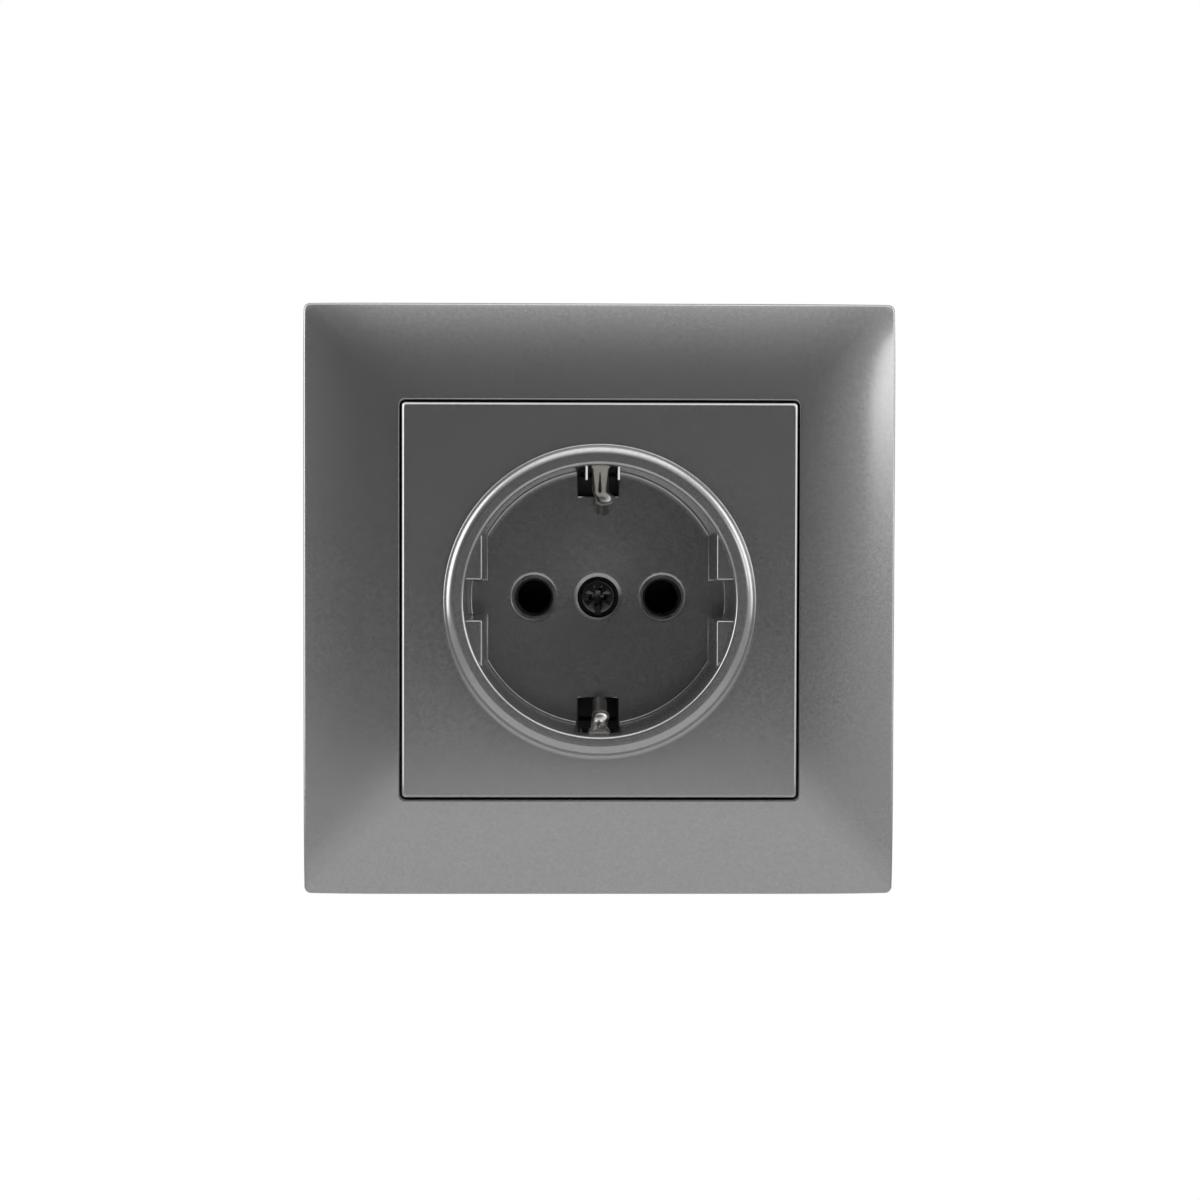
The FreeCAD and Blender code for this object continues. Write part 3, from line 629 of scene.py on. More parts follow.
rim_edges = round_edges(lambda x, up, out: out > ROOF_TOP / 2 and on_loop(x, up, FRAME_FRONT_HALF),
                        RIM_ROUND, RIM_STEPS)
opening_edges = round_edges(lambda x, up, out: out > LIP_FRONT + 1 and on_loop(x, up, OPENING_HALF),
                            OPENING_ROUND, OPENING_STEPS)
print("rounded", rim_edges, "edges of the rim and", opening_edges, "of the opening")
switch("OBJECT")
combine(cover_frame, [make_frame_rib(place, turn) for place in RIB_PLACES for turn in range(4)], "UNION")
smooth(cover_frame)
settle(cover_frame, lacquer_finish, "cover_frame")

# %% [markdown]
# ## The centre plate: ring and recess
#
# Plate, raised ring and deep recess are one moulding. All that is round comes from one outline: down the
# outside of the cup, across its back with the screw's boss, along the floor, up the drafted wall, over the
# ring and down to the plate's face. The floor sinks a little towards its middle, as thick mouldings do when
# they cool, so its lower half looks darker. It has many rings, because long thin faces would streak beside
# the holes that are cut into it.

# %% Turn the ring and the recess
PLATE_HALF, PLATE_CORNER, PLATE_FACE, PLATE_BACK = 28.0, 0.5, 10.4, 8.4
SKIRT_HALF, SKIRT_BACK = 26.5, 6.0
RING_TOP, RING_DIP, FLOOR, FLOOR_BACK = 12.2, 0.04, -5.3, -7.5
CUP_RADIUS, RECESS_MOUTH, RECESS_FOOT = 21.0, 19.18, 18.95
RING_EDGE, RING_FOOT, RING_MARGIN = 21.66, 22.05, 0.6
SCREW_HOLE, SCREW_SEAT, BOSS_RADIUS, BOSS_BACK, SHANK_HOLE = 3.03, -8.2, 3.83, -9.2, 1.65
DISH, DISH_START, DISH_END, HOLE_DROP, HOLE_RIM = 0.42, 3.8, RECESS_FOOT - 0.5, 0.1, 0.58
ROUND_STEPS, FLOOR_RINGS = 192, 26
floor_rings = []
for step in range(1, FLOOR_RINGS):
    share = step / FLOOR_RINGS
    floor_rings.append((DISH_START + (DISH_END - DISH_START) * share, FLOOR - DISH * (1 - share), 0, 0))
recess_outline = [
    (CUP_RADIUS, PLATE_BACK, 0, 0),
    (CUP_RADIUS, FLOOR_BACK, 0.4, 3),
    (BOSS_RADIUS, FLOOR_BACK, 0, 0),
    (BOSS_RADIUS, BOSS_BACK, 0, 0),
    (SHANK_HOLE, BOSS_BACK, 0, 0),
    (SHANK_HOLE, SCREW_SEAT, 0, 0),
    (SCREW_HOLE, SCREW_SEAT, 0, 0),
    (SCREW_HOLE, FLOOR - DISH - HOLE_DROP, 0.1, 3),
    (SCREW_HOLE + HOLE_RIM, FLOOR - DISH, 0.25, 4),
    *floor_rings,
    (RECESS_FOOT, FLOOR, 0.35, 5),
    (RECESS_MOUTH, RING_TOP - RING_DIP, 0.5, 7),
    (RING_EDGE, RING_TOP, 1.35, 14),
    (RING_FOOT, PLATE_FACE, 0.18, 5),
    (RING_FOOT + RING_MARGIN, PLATE_FACE, 0, 0),
]
centre_plate = start_outline("centre_plate_moulding", recess_outline)
spin_outline(ROUND_STEPS)
switch("OBJECT")
print("turned", len(centre_plate.data.polygons), "faces")

# %% [markdown]
# The square plate is made of loops again: its face, a softly chamfered front edge, the skirt behind it and
# the underside. It has as many points round as the ring, so that the two open rims, square outside and
# round inside, can be bridged point to point, front and back.

# %% Add the square plate and bridge it to the ring
EDGE_INSET, EDGE_SHAPE = 0.36, ((0.30, 0.02), (0.24, 0.07), (0.08, 0.24), (0.03, 0.31), (0.0, 0.42))
PLATE_CORNER_STEPS = 4
PLATE_CUTS = ROUND_STEPS // 4 - PLATE_CORNER_STEPS - 1
square_plate = start_loop("square_plate", PLATE_HALF - EDGE_INSET, PLATE_CORNER, PLATE_FACE, PLATE_CUTS,
                          PLATE_CORNER_STEPS)
plate_loops = [(PLATE_HALF - inset, PLATE_FACE - drop) for inset, drop in EDGE_SHAPE]
plate_loops += [(PLATE_HALF, SKIRT_BACK), (SKIRT_HALF, SKIRT_BACK), (SKIRT_HALF, PLATE_BACK)]
add_loops(PLATE_HALF - EDGE_INSET, PLATE_CORNER, [(half, level(out)) for half, out in plate_loops])
choose(square_plate, centre_plate)
bpy.ops.object.join()
switch("EDIT")
for rim_level in (PLATE_FACE, PLATE_BACK):
    rim_edges = pick("EDGE", lambda x, up, out: near(out, rim_level), border=True)
    bpy.ops.mesh.bridge_edge_loops()
    print("bridged", rim_edges, "edges at", rim_level)
close_up()
switch("OBJECT")
print("plate and ring", len(centre_plate.data.polygons), "faces,", open_edges(centre_plate), "open edges")

# %% [markdown]
# Four guides stop a plug from turning. Each is the slice of a cylinder that is left when two slightly
# tilted planes have cut it, so its back lies in the recess wall. Its free edges are rounded, and a flat
# second slice, a little larger, stands for the small round at its foot.

# %% Slice the plug guides
GUIDE_DISTANCE, GUIDE_SLOT_HALF, GUIDE_TOP, GUIDE_SLOPE, GUIDE_BACK = 16.4, 2.6, 9.4, 0.0136, 20.0
GUIDE_ROUND, FOOT_ROUND, FOOT_BEVEL, TILT_SLACK = 0.35, 0.16, 0.128, 0.25


def make_guide(right, upper, top, grow, radius):
    """One guide up to a level, or with grow its foot; right and upper are 1 or -1."""
    clear_selection()
    bottom = (FLOOR + FLOOR_BACK) / 2
    middle, depth = at(0, 0, (top + bottom) / 2), (top - bottom) * MM
    bpy.ops.mesh.primitive_cylinder_add(vertices=ROUND_STEPS, radius=GUIDE_BACK * MM, depth=depth,
                                        location=middle, rotation=(math.pi / 2, 0, 0))
    guide = bpy.context.object
    bpy.ops.object.transform_apply()
    switch("EDIT")
    distance, slot_half = GUIDE_DISTANCE - grow, GUIDE_SLOT_HALF - grow
    cuts = ((at(right * distance, 0, FLOOR), (right, GUIDE_SLOPE, 0)),
            (at(0, upper * slot_half, FLOOR), (0, GUIDE_SLOPE, upper)))
    for point, normal in cuts:
        bpy.ops.mesh.select_all(action="SELECT")
        bpy.ops.mesh.bisect(plane_co=point, plane_no=normal, use_fill=True, clear_inner=True)

    def on_face(x, up, out):
        return near(right * x, distance, TILT_SLACK)

    def on_side(x, up, out):
        return near(upper * up, slot_half, TILT_SLACK)

    pick("EDGE", lambda *place: on_face(*place) and on_side(*place),
         lambda *place: near(place[2], top) and on_face(*place),
         lambda *place: near(place[2], top) and on_side(*place))
    bpy.ops.mesh.bevel(offset=radius * MM, segments=4, affect="EDGES")
    switch("OBJECT")
    return guide


for right in (1, -1):
    for upper in (1, -1):
        guide = make_guide(right, upper, GUIDE_TOP, 0.0, GUIDE_ROUND)
        foot = make_guide(right, upper, FLOOR + FOOT_ROUND, FOOT_ROUND, FOOT_BEVEL)
        combine(centre_plate, [guide, foot], "UNION")
print("plate with guides", len(centre_plate.data.polygons), "faces")

# %% [markdown]
# The pin holes have a soft rim, so each is cut with a turned tool that flares like the rim and leans with
# the dished floor. A plain cylinder and a bevel would meet the floor at a tangent and leave a wavy edge.
# Small ribs stiffen the plate behind.

# %% Add the ribs and make the tools for the pin holes
PIN_HOLE, PIN_RIM, PIN_DROP, RIM_BEND, RIM_DIP, RIM_LIFT, FLARE = 2.8, 0.68, 0.5, 0.85, 0.02, 0.09, 0.7
BEYOND = 1.0
PLATE_RIB_PLACES, PLATE_RIB_INNER, PLATE_RIB_OUTER, PLATE_RIB_LEVELS = (-14.0, 14.0), 15.2, 27.2, (6.6, 9.0)


def make_block(x_range, up_range, out_range):
    """A block between two values each of x, up and out."""
    clear_selection()
    low, high = at(x_range[0], up_range[0], out_range[1]), at(x_range[1], up_range[1], out_range[0])
    bpy.ops.mesh.primitive_cube_add(size=1.0, location=(low + high) / 2)
    block = bpy.context.object
    block.scale = high - low
    bpy.ops.object.transform_apply()
    return block


def make_pin_tool(x):
    """The tool for one pin hole and its rim of two slopes, leaning with the floor."""
    slope = DISH / (DISH_END - DISH_START)
    rim = FLOOR - slope * (DISH_END - PIN_X)
    widest = PIN_HOLE + PIN_RIM + FLARE
    foot, head = FLOOR_BACK - BEYOND, FLOOR + BEYOND
    corners = [(0, foot, 0, 0), (PIN_HOLE, foot, 0, 0), (PIN_HOLE, rim - PIN_DROP, 0.12, 3),
               (PIN_HOLE + RIM_BEND * PIN_RIM, rim - RIM_DIP, 0.2, 4),
               (widest, rim + RIM_LIFT, 0, 0), (widest, head, 0, 0), (0, head, 0, 0)]
    tool = start_outline("pin_tool", corners)
    spin_outline(ROUND_STEPS, x)
    lean = math.copysign(math.atan(slope), x)
    bpy.ops.transform.rotate(value=lean, orient_axis="Z", center_override=at(x, 0, rim))
    switch("OBJECT")
    return tool


plate_ribs = []
for place in PLATE_RIB_PLACES:
    across = (place - RIB_HALF, place + RIB_HALF)
    for sign in (-1, 1):
        along = sorted((sign * PLATE_RIB_INNER, sign * PLATE_RIB_OUTER))
        plate_ribs.append(make_block(across, along, PLATE_RIB_LEVELS))
        plate_ribs.append(make_block(along, across, PLATE_RIB_LEVELS))
combine(centre_plate, plate_ribs, "UNION")
pin_tools = [make_pin_tool(-PIN_X), make_pin_tool(PIN_X)]
print("plate with ribs", len(centre_plate.data.polygons), "faces")

# %% [markdown]
# The two earth slots are windows through the floor and the wall, with a small chamfer round their edge in
# the floor that catches the light. A flat block whose front is spread makes the chamfer.

# %% Cut the earth slots and the pin holes
SLOT_HALF, SLOT_INNER, SLOT_TOP, SLOT_CHAMFER, CHAMFER_END, CHAMFER_RISE = 3.0, 14.9, 7.6, 0.2, 19.0, 0.1


def make_slab(sign, half, inner, outer, levels):
    """A block across the middle, between two heights above the axis (sign 1) or below it (sign -1)."""
    return make_block((-half, half), sorted((sign * inner, sign * outer)), levels)


def make_chamfer(sign):
    """The tool for the chamfer round one earth slot's edge in the floor."""
    levels, grow = (FLOOR - SLOT_CHAMFER, FLOOR + CHAMFER_RISE), SLOT_CHAMFER + CHAMFER_RISE
    chamfer = make_slab(sign, SLOT_HALF, SLOT_INNER, CHAMFER_END, levels)
    switch("EDIT")
    pick("VERT", lambda x, up, out: out > FLOOR)
    bpy.ops.transform.resize(value=((SLOT_HALF + grow) / SLOT_HALF, 1, 1), center_override=(0, 0, 0))
    pick("VERT", lambda x, up, out: out > FLOOR and near(abs(up), SLOT_INNER))
    bpy.ops.transform.translate(value=at(0, -sign * grow, 0))
    switch("OBJECT")
    return chamfer


slot_levels = (FLOOR_BACK - BEYOND, SLOT_TOP)
windows = [make_slab(sign, SLOT_HALF, SLOT_INNER, CUP_RADIUS + BEYOND, slot_levels) for sign in (-1, 1)]
chamfers = [make_chamfer(sign) for sign in (-1, 1)]
combine(centre_plate, windows + chamfers + pin_tools, "DIFFERENCE")
smooth(centre_plate)
settle(centre_plate, lacquer_finish, "centre_plate")

# %% [markdown]
# ## The centre screw
#
# In the middle of the recess sits a hardened screw with a combined drive: a slot right across its head and
# a cross over it. The head is turned with a rounded edge, and the drive is cut into it by small blocks
# whose lower ends are drawn together, as a driver's tip is.

# %% Turn the screw and cut its drive
HEAD_RADIUS, HEAD_TOP, SCREW_RADIUS, SCREW_END, POINT_LENGTH, POINT_DRAW = 2.55, -6.4, 1.45, -19.2, 0.8, 0.5
DRIVES = ((0.42, HEAD_RADIUS + 0.3, 0.75, 1.0), (1.62, 0.52, 1.1, 0.55), (0.62, 1.62, 1.1, 0.6))
screw_outline = [(0, HEAD_TOP, 0, 0), (HEAD_RADIUS, HEAD_TOP, 0.35, 5), (HEAD_RADIUS, SCREW_SEAT, 0.1, 2),
                 (SCREW_RADIUS, SCREW_SEAT, 0, 0), (SCREW_RADIUS, SCREW_END + POINT_LENGTH, 0, 0),
                 (SCREW_RADIUS - POINT_DRAW, SCREW_END, 0, 0), (0, SCREW_END, 0, 0)]
centre_screw = start_outline("centre_screw_steel", screw_outline)
spin_outline(ROUND_STEPS // 2)
switch("OBJECT")


def make_drive(half_x, half_up, depth, taper):
    """A drive cutter whose lower end is drawn together by a factor."""
    tool = make_block((-half_x, half_x), (-half_up, half_up), (HEAD_TOP - depth, HEAD_TOP + 0.5))
    switch("EDIT")
    pick("VERT", lambda x, up, out: near(out, HEAD_TOP - depth))
    bpy.ops.transform.resize(value=(taper, 1, taper), center_override=(0, 0, 0))
    switch("OBJECT")
    return tool


combine(centre_screw, [make_drive(*drive) for drive in DRIVES], "DIFFERENCE")
soften(centre_screw, 0.07, 2, 35)
smooth(centre_screw)
settle(centre_screw, screw_finish, "centre_screw")

# %% [markdown]
# ## The earth contacts
#
# The two fingers that touch a plug's sides are the hairpin ends of one folded strap of nickel plated spring
# bronze. Seen from the side, each is a path: up, round the fold, down to a rounded nose and steeply back to
# its tip. The path is drawn from straight runs and curves, and walked in even steps.

# %% Walk along a finger's path
RUN_STEPS = 40


def path_points(corners, rounds, count):
    """Evenly spaced points on a path of straight runs and curves, each with its direction and distance."""
    points = []
    shares = [step / RUN_STEPS for step in range(RUN_STEPS)]
    start = corners[0]
    for corner, after, radius in zip(corners[1:], corners[2:], rounds):
        into, onward = (corner - start).normalized(), (after - corner).normalized()
        setback = radius * math.tan(into.angle(onward) / 2)
        first, last = corner - into * setback, corner + onward * setback
        points += [start.lerp(first, share) for share in shares]
        points += [first.lerp(corner, share).lerp(corner.lerp(last, share), share) for share in shares]
        start = last
    points += [start.lerp(corners[-1], share) for share in shares + [1.0]]
    lengths = [0.0]
    for one, other in zip(points, points[1:]):
        lengths.append(lengths[-1] + (other - one).length)
    even = []
    for step in range(count + 1):
        gone = lengths[-1] * step / count
        index = min(max(bisect.bisect_left(lengths, gone) - 1, 0), len(points) - 2)
        one, other = points[index], points[index + 1]
        share = (gone - lengths[index]) / (lengths[index + 1] - lengths[index])
        even.append((one.lerp(other, share), (other - one).normalized(), gone))
    return even, lengths[-1]


def ease(value, start, end):
    """Goes smoothly from 0 at start to 1 at end."""
    share = min(max((value - start) / (end - start), 0.0), 1.0)
    return share * share * (3 - 2 * share)


def hump(value, middle, width):
    """A smooth hump of height 1 round a middle."""
    return math.exp(-((value - middle) / width) ** 2)


print("path tools ready")

# %% [markdown]
# A finger starts wide at its fold, narrows, has a groove pressed down its middle, swells to a nose and ends
# in a blunt tip. Each point of a grid is placed by how far it has gone along the path and how far to the side
# it lies. A box with loop cuts would need as many moves by hand. The upper finger of this socket leans to
# the right, and the lower one has painted shade on its fold and painted light on its back.

# %% Shape a finger
FOLD_REACH, FOLD_START, FOLD_TOP, FOLD_ROUND = 20.2, 4.6, 7.4, 0.8
NOSE_REACH, NOSE_OUT, NOSE_ROUND, NOSE_LENGTH, NOSE_SWELL, NOSE_WIDENS = 15.65, 3.3, 1.5, 0.7, 0.3, 0.2
TIP_REACH, TIP_OUT, TIP_ROUND, TIP_NARROWS, TIP_END_WIDTH = 12.95, -3.0, 0.4, 0.2, 0.45
FINGER_WIDTH, FINGER_SHEET, FLAT_SWELL, BODY_SWELL = 1.95, 0.4, 0.1, 0.32
GROOVE_SIDE, GROOVE_DEPTH, GROOVE_WIDTH, GROOVE_WIDENS = -0.06, 0.3, 0.05, 0.1
ALONG, ACROSS = 120, 40


def finger_width(gone, nose, total, fold_width):
    """The finger's width at a distance along it."""
    width = fold_width + (FINGER_WIDTH - fold_width) * ease(gone, 2.6, 4.0)
    width += NOSE_WIDENS * hump(gone, nose, NOSE_LENGTH) - TIP_NARROWS * ease(gone, nose + 0.5, nose + 1.3)
    left = total - gone
    if left < TIP_ROUND:
        width *= TIP_END_WIDTH + (1 - TIP_END_WIDTH) * math.sqrt(1 - (1 - left / TIP_ROUND) ** 2)
    return width


def groove_line(gone, nose, side):
    """How deep the pressed groove is at a point, from 0 to 1."""
    length = ease(gone, 3.6, 5.0) * (1 - ease(gone, nose - 1.5, nose - 1.1))
    return length * hump(side, GROOVE_SIDE, GROOVE_WIDTH + GROOVE_WIDENS * ease(gone, 3.0, nose - 1.2))


def shade_amount(gone, nose, side, lower):
    """How much painted shade a point gets: in the groove, in the hollow above the nose, along the tip and on
    the lower finger's fold.
    """
    hollow = 0.85 * hump(gone, nose - 0.5, 0.4) * math.exp(-((side + 0.2) / 0.55) ** 4)
    streak = ease(gone, nose + 0.5, nose + 1.3) * (0.75 - 0.5 * hump(side, -0.15, 0.16))
    fold = lower * 0.65 * hump(gone, 2.4, 0.4)
    return min(1.6 * groove_line(gone, nose, side) + hollow + streak + fold, 1.0)


def highlight_amount(gone, nose, side, lower):
    """How bright a point is painted: a painted highlight on the nose, most on its right, and painted light on
    the lower finger's back.
    """
    back = lower * 0.85 * ease(gone, 2.5, 3.2) * (1 - ease(gone, nose - 2.0, nose - 0.8))
    return max(hump(gone, nose, NOSE_LENGTH) * (0.4 + 0.6 * ease(side, -0.2, 0.4)), back)


print("finger", FINGER_WIDTH, "mm wide, of sheet", FINGER_SHEET, "mm thick")

# %% [markdown]
# The grid then gets the sheet's thickness, and its edges a small round. Painted shade and a painted highlight
# are stored on the vertices for the nickel finish.

# %% Bend the spring fingers
UPPER_LEAN, LOWER_LEAN = 0.48, 0.15


def make_finger(name, upper, set_in, lean, tip_share, fold_width):
    """One finger; upper is 1 or -1, set_in moves its nose towards the axis and lean to the right."""
    nose_corner, tip_corner = Vector((NOSE_REACH - set_in, NOSE_OUT)), Vector((TIP_REACH - set_in, TIP_OUT))
    tip_corner = nose_corner.lerp(tip_corner, tip_share)
    corners = [Vector((FOLD_REACH, FOLD_START)), Vector((FOLD_REACH, FOLD_TOP)), nose_corner, tip_corner]
    path, total = path_points(corners, [FOLD_ROUND, NOSE_ROUND], ALONG)
    nose = total - (tip_corner - nose_corner).length
    lower = 1 if upper < 0 else 0
    clear_selection()
    bpy.ops.mesh.primitive_grid_add(x_subdivisions=ACROSS, y_subdivisions=ALONG, size=1.0)
    finger = bpy.context.object
    finger.name = name
    switch("EDIT")
    mesh = bmesh.from_edit_mesh(finger.data)
    # These layers hold the painted shade and the painted highlight for the nickel finish.
    painted_shade_layer = mesh.verts.layers.float.new("painted_shade")
    painted_highlight_layer = mesh.verts.layers.float.new("painted_highlight")
    for vertex in mesh.verts:
        side = 2 * vertex.co.x
        point, direction, gone = path[round((vertex.co.y + 0.5) * ALONG)]
        bulb = hump(gone, nose, NOSE_LENGTH)
        swell = FLAT_SWELL + BODY_SWELL * ease(gone, 3.4, 6.5) + NOSE_SWELL * bulb
        inward = Vector((direction.y, -direction.x))
        raised = swell * (1 - side * side) - GROOVE_DEPTH * groove_line(gone, nose, side)
        spot = point + inward * raised
        bend = lean * (0.35 + 0.8 * ease(gone, nose - 1.3, nose - 0.1) + 0.6 * bulb)
        half_width = finger_width(gone, nose, total, fold_width) / 2
        vertex.co = at(half_width * math.sin(side * math.pi / 2) + bend, upper * spot.x, spot.y)
        vertex[painted_shade_layer] = shade_amount(gone, nose, side, lower)
        vertex[painted_highlight_layer] = highlight_amount(gone, nose, side, lower)
    bmesh.update_edit_mesh(finger.data)
    bpy.ops.mesh.select_all(action="SELECT")
    bpy.ops.mesh.normals_make_consistent(inside=False)
    switch("OBJECT")
    apply_modifier(finger, "SOLIDIFY", thickness=FINGER_SHEET * MM, offset=0.0)
    soften(finger, 0.08, 2, 50)
    smooth(finger, 50)
    return finger


upper_finger = make_finger("upper_earth_finger", 1, 1.1, UPPER_LEAN, tip_share=0.72, fold_width=2.7)
lower_finger = make_finger("lower_earth_finger", -1, -1.4, LOWER_LEAN, tip_share=0.76, fold_width=3.0)
for finger in (upper_finger, lower_finger):
    settle(finger, nickel_finish, "earth_bracket")

# %% [markdown]
# ## The earth strap
#
# The strap that carries the fingers is already right in shape. A copy of its solid is welded, its flat
# parts are made whole again, and room is cut for the new fingers, so that only its back and two thin side
# flanges stay. The upper end leans with its finger and its flanges slope, as they do on the real one.

# %% Copy the strap and make room for the fingers
COPY_WELD, FLAT_ANGLE = 0.002 * MM, 0.5
ROOM_HALF, ROOM_INNER, ROOM_OUTER, ROOM_LEVELS = 2.17, 10.0, 19.78, (-6.0, 9.5)
TOP_INNER, TOP_OUTER, TOP_LEVELS = 19.0, 21.5, (5.85, 9.5)
UPPER_END, UPRIGHT_OUTSIDE, FLANGE_SLOPE = 15.0, 20.6, 0.35


def soft_copy(node, name):
    """A copy of a node's mesh with welded corners and whole flat faces."""
    copy = bpy.data.objects.new(name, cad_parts[node].data.copy())
    bpy.context.scene.collection.objects.link(copy)
    choose(copy)
    switch("EDIT")
    bpy.ops.mesh.select_all(action="SELECT")
    bpy.ops.mesh.customdata_custom_splitnormals_clear()
    bpy.ops.mesh.remove_doubles(threshold=COPY_WELD)
    bpy.ops.mesh.dissolve_limited(angle_limit=math.radians(FLAT_ANGLE))
    switch("OBJECT")
    return copy


earth_strap = soft_copy("earth_bracket", "earth_strap")
rooms = []
for sign in (-1, 1):
    rooms.append(make_slab(sign, ROOM_HALF, ROOM_INNER, ROOM_OUTER, ROOM_LEVELS))
    rooms.append(make_slab(sign, ROOM_HALF, TOP_INNER, TOP_OUTER, TOP_LEVELS))
combine(earth_strap, rooms, "DIFFERENCE")
soften(earth_strap, 0.09, 3, 40)
switch("EDIT")
strap_mesh = bmesh.from_edit_mesh(earth_strap.data)
for vertex in strap_mesh.verts:
    if vertex.co.z > UPPER_END * MM:
        out = -vertex.co.y / MM
        vertex.co.x += UPPER_LEAN * MM * ease(out, -7.5, -2.0)
        vertex.co.y += FLANGE_SLOPE * (UPRIGHT_OUTSIDE * MM - vertex.co.z) * ease(out, 1.0, 6.0)
bmesh.update_edit_mesh(earth_strap.data)
switch("OBJECT")
smooth(earth_strap)
settle(earth_strap, strap_finish, "earth_bracket")

# %% [markdown]
# ## Pressed and moulded pieces behind the face
#
# Plates, clamps, screws, contacts and the base are right in shape too, so each is a welded copy whose edges
# get the small rounds that pressing and moulding leave. The contact cover also gets two black tongues, sheets
# of painted shade that close the view past the earth slots, each with a notch for the strap.

# %% Finish the hidden pieces
TONGUE_HALF, TONGUE_INNER, TONGUE_OUTER, TONGUE_LEVELS = 4.2, 18.6, 22.6, (-8.9, -8.1)
NOTCH_HALF, NOTCH_INNER, NOTCH_OUTER = 2.47, 19.77, 20.63
soft_pieces = [("support_plate", "support_plate_pressing", 0.14, "zinc_steel", zinc_finish),
               ("socket_base", "socket_base_moulding", 0.2, "black_moulding", base_finish),
               ("contact_cover", "contact_cover_moulding", 0.15, "cover_moulding", cover_finish)]
pole_pieces = [("_contact", "_contact_brass", 0.08, "contact_brass", brass_finish),
               ("_contact_spring", "_spring_clip", 0.06, "spring_steel", spring_finish),
               ("_rivet", "_rivet_steel", 0.1, "zinc_steel", zinc_finish)]
terminal_pieces = [("_clamp", "_clamp_plate", 0.12, "zinc_steel", zinc_finish),
                   ("_screw", "_screw_steel", 0.15, "zinc_steel", zinc_finish)]
for pole in ("left", "right"):
    soft_pieces += [(pole + node, pole + name, *rest) for node, name, *rest in pole_pieces]
for pole in ("left", "right", "earth"):
    for stem in (pole + "_upper", pole + "_lower"):
        soft_pieces += [(stem + node, stem + name, *rest) for node, name, *rest in terminal_pieces]


def make_shade_tongue(sign):
    """One black tongue of painted shade on the contact cover, with its notch."""
    tongue = make_slab(sign, TONGUE_HALF, TONGUE_INNER, TONGUE_OUTER, TONGUE_LEVELS)
    notch_levels = (TONGUE_LEVELS[0] - BEYOND, TONGUE_LEVELS[1] + BEYOND)
    combine(tongue, [make_slab(sign, NOTCH_HALF, NOTCH_INNER, NOTCH_OUTER, notch_levels)], "DIFFERENCE")
    return tongue


for node, name, radius, slot, finish in soft_pieces:
    piece = soft_copy(node, name)
    soften(piece, radius, 2, 40)
    if node == "contact_cover":
        # Black tongues of painted shade close the view past the earth slots.
        for sign in (-1, 1):
            combine(piece, [make_shade_tongue(sign)], "UNION")
    smooth(piece)
    settle(piece, finish, node)

# %% [markdown]
# ## Stage and light
#
# The socket hangs in a white studio, above a pale floor that lights it softly from below, with painted shade
# that makes it darker to the sides. One softbox at the upper right gives the bright corner of the frame.

# %% Lay the floor and hang the softbox
FLOOR_PLACE, FLOOR_SIZE, FLOOR_FADE = (0, -0.57, -0.16), (2.4, 1.5, 1), 0.12
LIT_FLOOR, SHADED_FLOOR = (0.63, 0.63, 0.63), (0.38, 0.38, 0.38)
KEY_PLACE, KEY_WIDTH, KEY_HEIGHT, KEY_BRIGHTNESS = Vector((0.708, -0.684, 0.18)), 0.33, 0.27, 2.0
clear_selection()
bpy.ops.mesh.primitive_plane_add(size=1.0, location=FLOOR_PLACE)
floor = bpy.context.object
floor.name = "pale_floor"
floor.scale = FLOOR_SIZE
bpy.ops.object.transform_apply()
floor_finish = start_finish("pale_floor_paint")
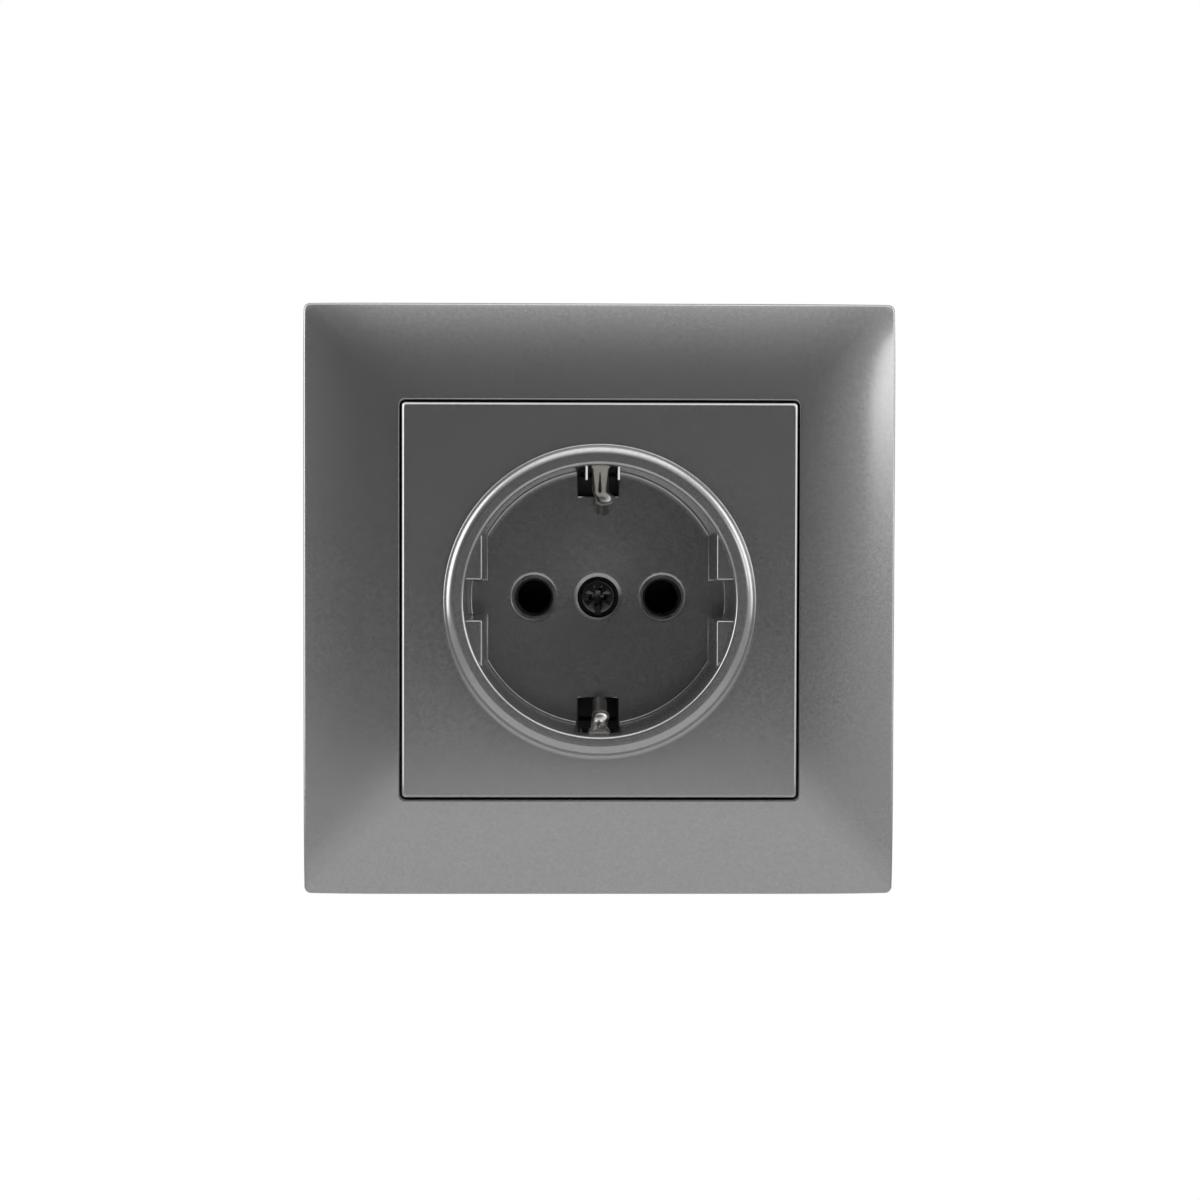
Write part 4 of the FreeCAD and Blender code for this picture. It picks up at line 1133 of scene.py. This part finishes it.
# Painted shade on the floor: lit in the middle, darker towards both sides.
floor_side = floor_finish.part("X")
floor_shade = floor_finish.rise(floor_side * floor_side, 0.0, FLOOR_FADE)
floor_tone = floor_finish.blend(floor_shade, LIT_FLOOR, SHADED_FLOOR)
floor.data.materials.append(floor_finish.shade(Base_Color=floor_tone, Roughness=0.9))
clear_selection()
bpy.ops.object.light_add(type="AREA", location=KEY_PLACE)
key = bpy.context.object
key.name = "key_softbox"
key.data.shape = "RECTANGLE"
key.data.size, key.data.size_y = KEY_WIDTH, KEY_HEIGHT
key.data.energy = KEY_BRIGHTNESS * math.pi * KEY_WIDTH * KEY_HEIGHT
key.rotation_euler = (-KEY_PLACE).to_track_quat("-Z", "Y").to_euler()
print("floor laid,", key.name, "at", round(key.data.energy, 3), "watts")

# %% [markdown]
# Satin metal shows what stands round it, so the room is the main light: dim in front, a bright ceiling, soft
# panels at both sides and a dark band before the white wall behind. Each panel fades in with the direction
# looked in, with softer edges than lamps have. The camera sees plain white, and so does metal that mirrors
# what lies straight behind the socket, so the outline stays clean.

# %% Light the studio
DIM_FRONT, CEILING, CEILING_RISE = 0.04, 1.9, (0.17, 0.87)
BAND_STARTS, BAND_DARKNESS, WHITE_WALL = (0.05, 0.4), 0.9, (0.6, 0.85)
PANELS = (  # share of right, share of top, where it starts, where it is full, brightness
    (1, 0, -0.15, 0.15, 0.034),
    (1, 0, 0.25, 0.55, 0.35),
    (1, 0, 0.68, 0.88, 0.4),
    (1, 1, 0.35, 0.95, 0.2),
    (-1, 0, 0.35, 0.75, 0.13),
    (-1, 0, 0.72, 0.92, 1.0),
    (0.94, 0.34, 0.84, 0.98, 2.0),
    (-0.94, 0.34, 0.8, 0.95, 2.5),
)
studio = Finish(bpy.data.worlds.new("studio"))
bpy.context.scene.world = studio.owner
to_right, to_back, to_top = (studio.part(axis, "Generated") for axis in "XYZ")
height = studio.node("ShaderNodeMapRange", {}, {0: to_top, 1: CEILING_RISE[0], 2: CEILING_RISE[1]})
room = DIM_FRONT + height * height * height * CEILING
for share_right, share_top, starts, full, brightness in PANELS:
    room = room + studio.rise(to_right * share_right + to_top * share_top, starts, full) * brightness
behind = studio.rise(to_back, *WHITE_WALL)
room = room * (1 - studio.rise(to_back, *BAND_STARTS) * BAND_DARKNESS) * (1 - behind) + behind
seen = studio.node("ShaderNodeLightPath", {}, {}, "Is Camera Ray")
shown = room * (1 - seen) + seen
sky = studio.node("ShaderNodeBackground", {}, {"Color": (1, 1, 1, 1), "Strength": shown})
studio.node("ShaderNodeOutputWorld", {}, {"Surface": sky})
bpy.context.scene.view_settings.view_transform = "Standard"
print("studio with", len(PANELS), "panels")
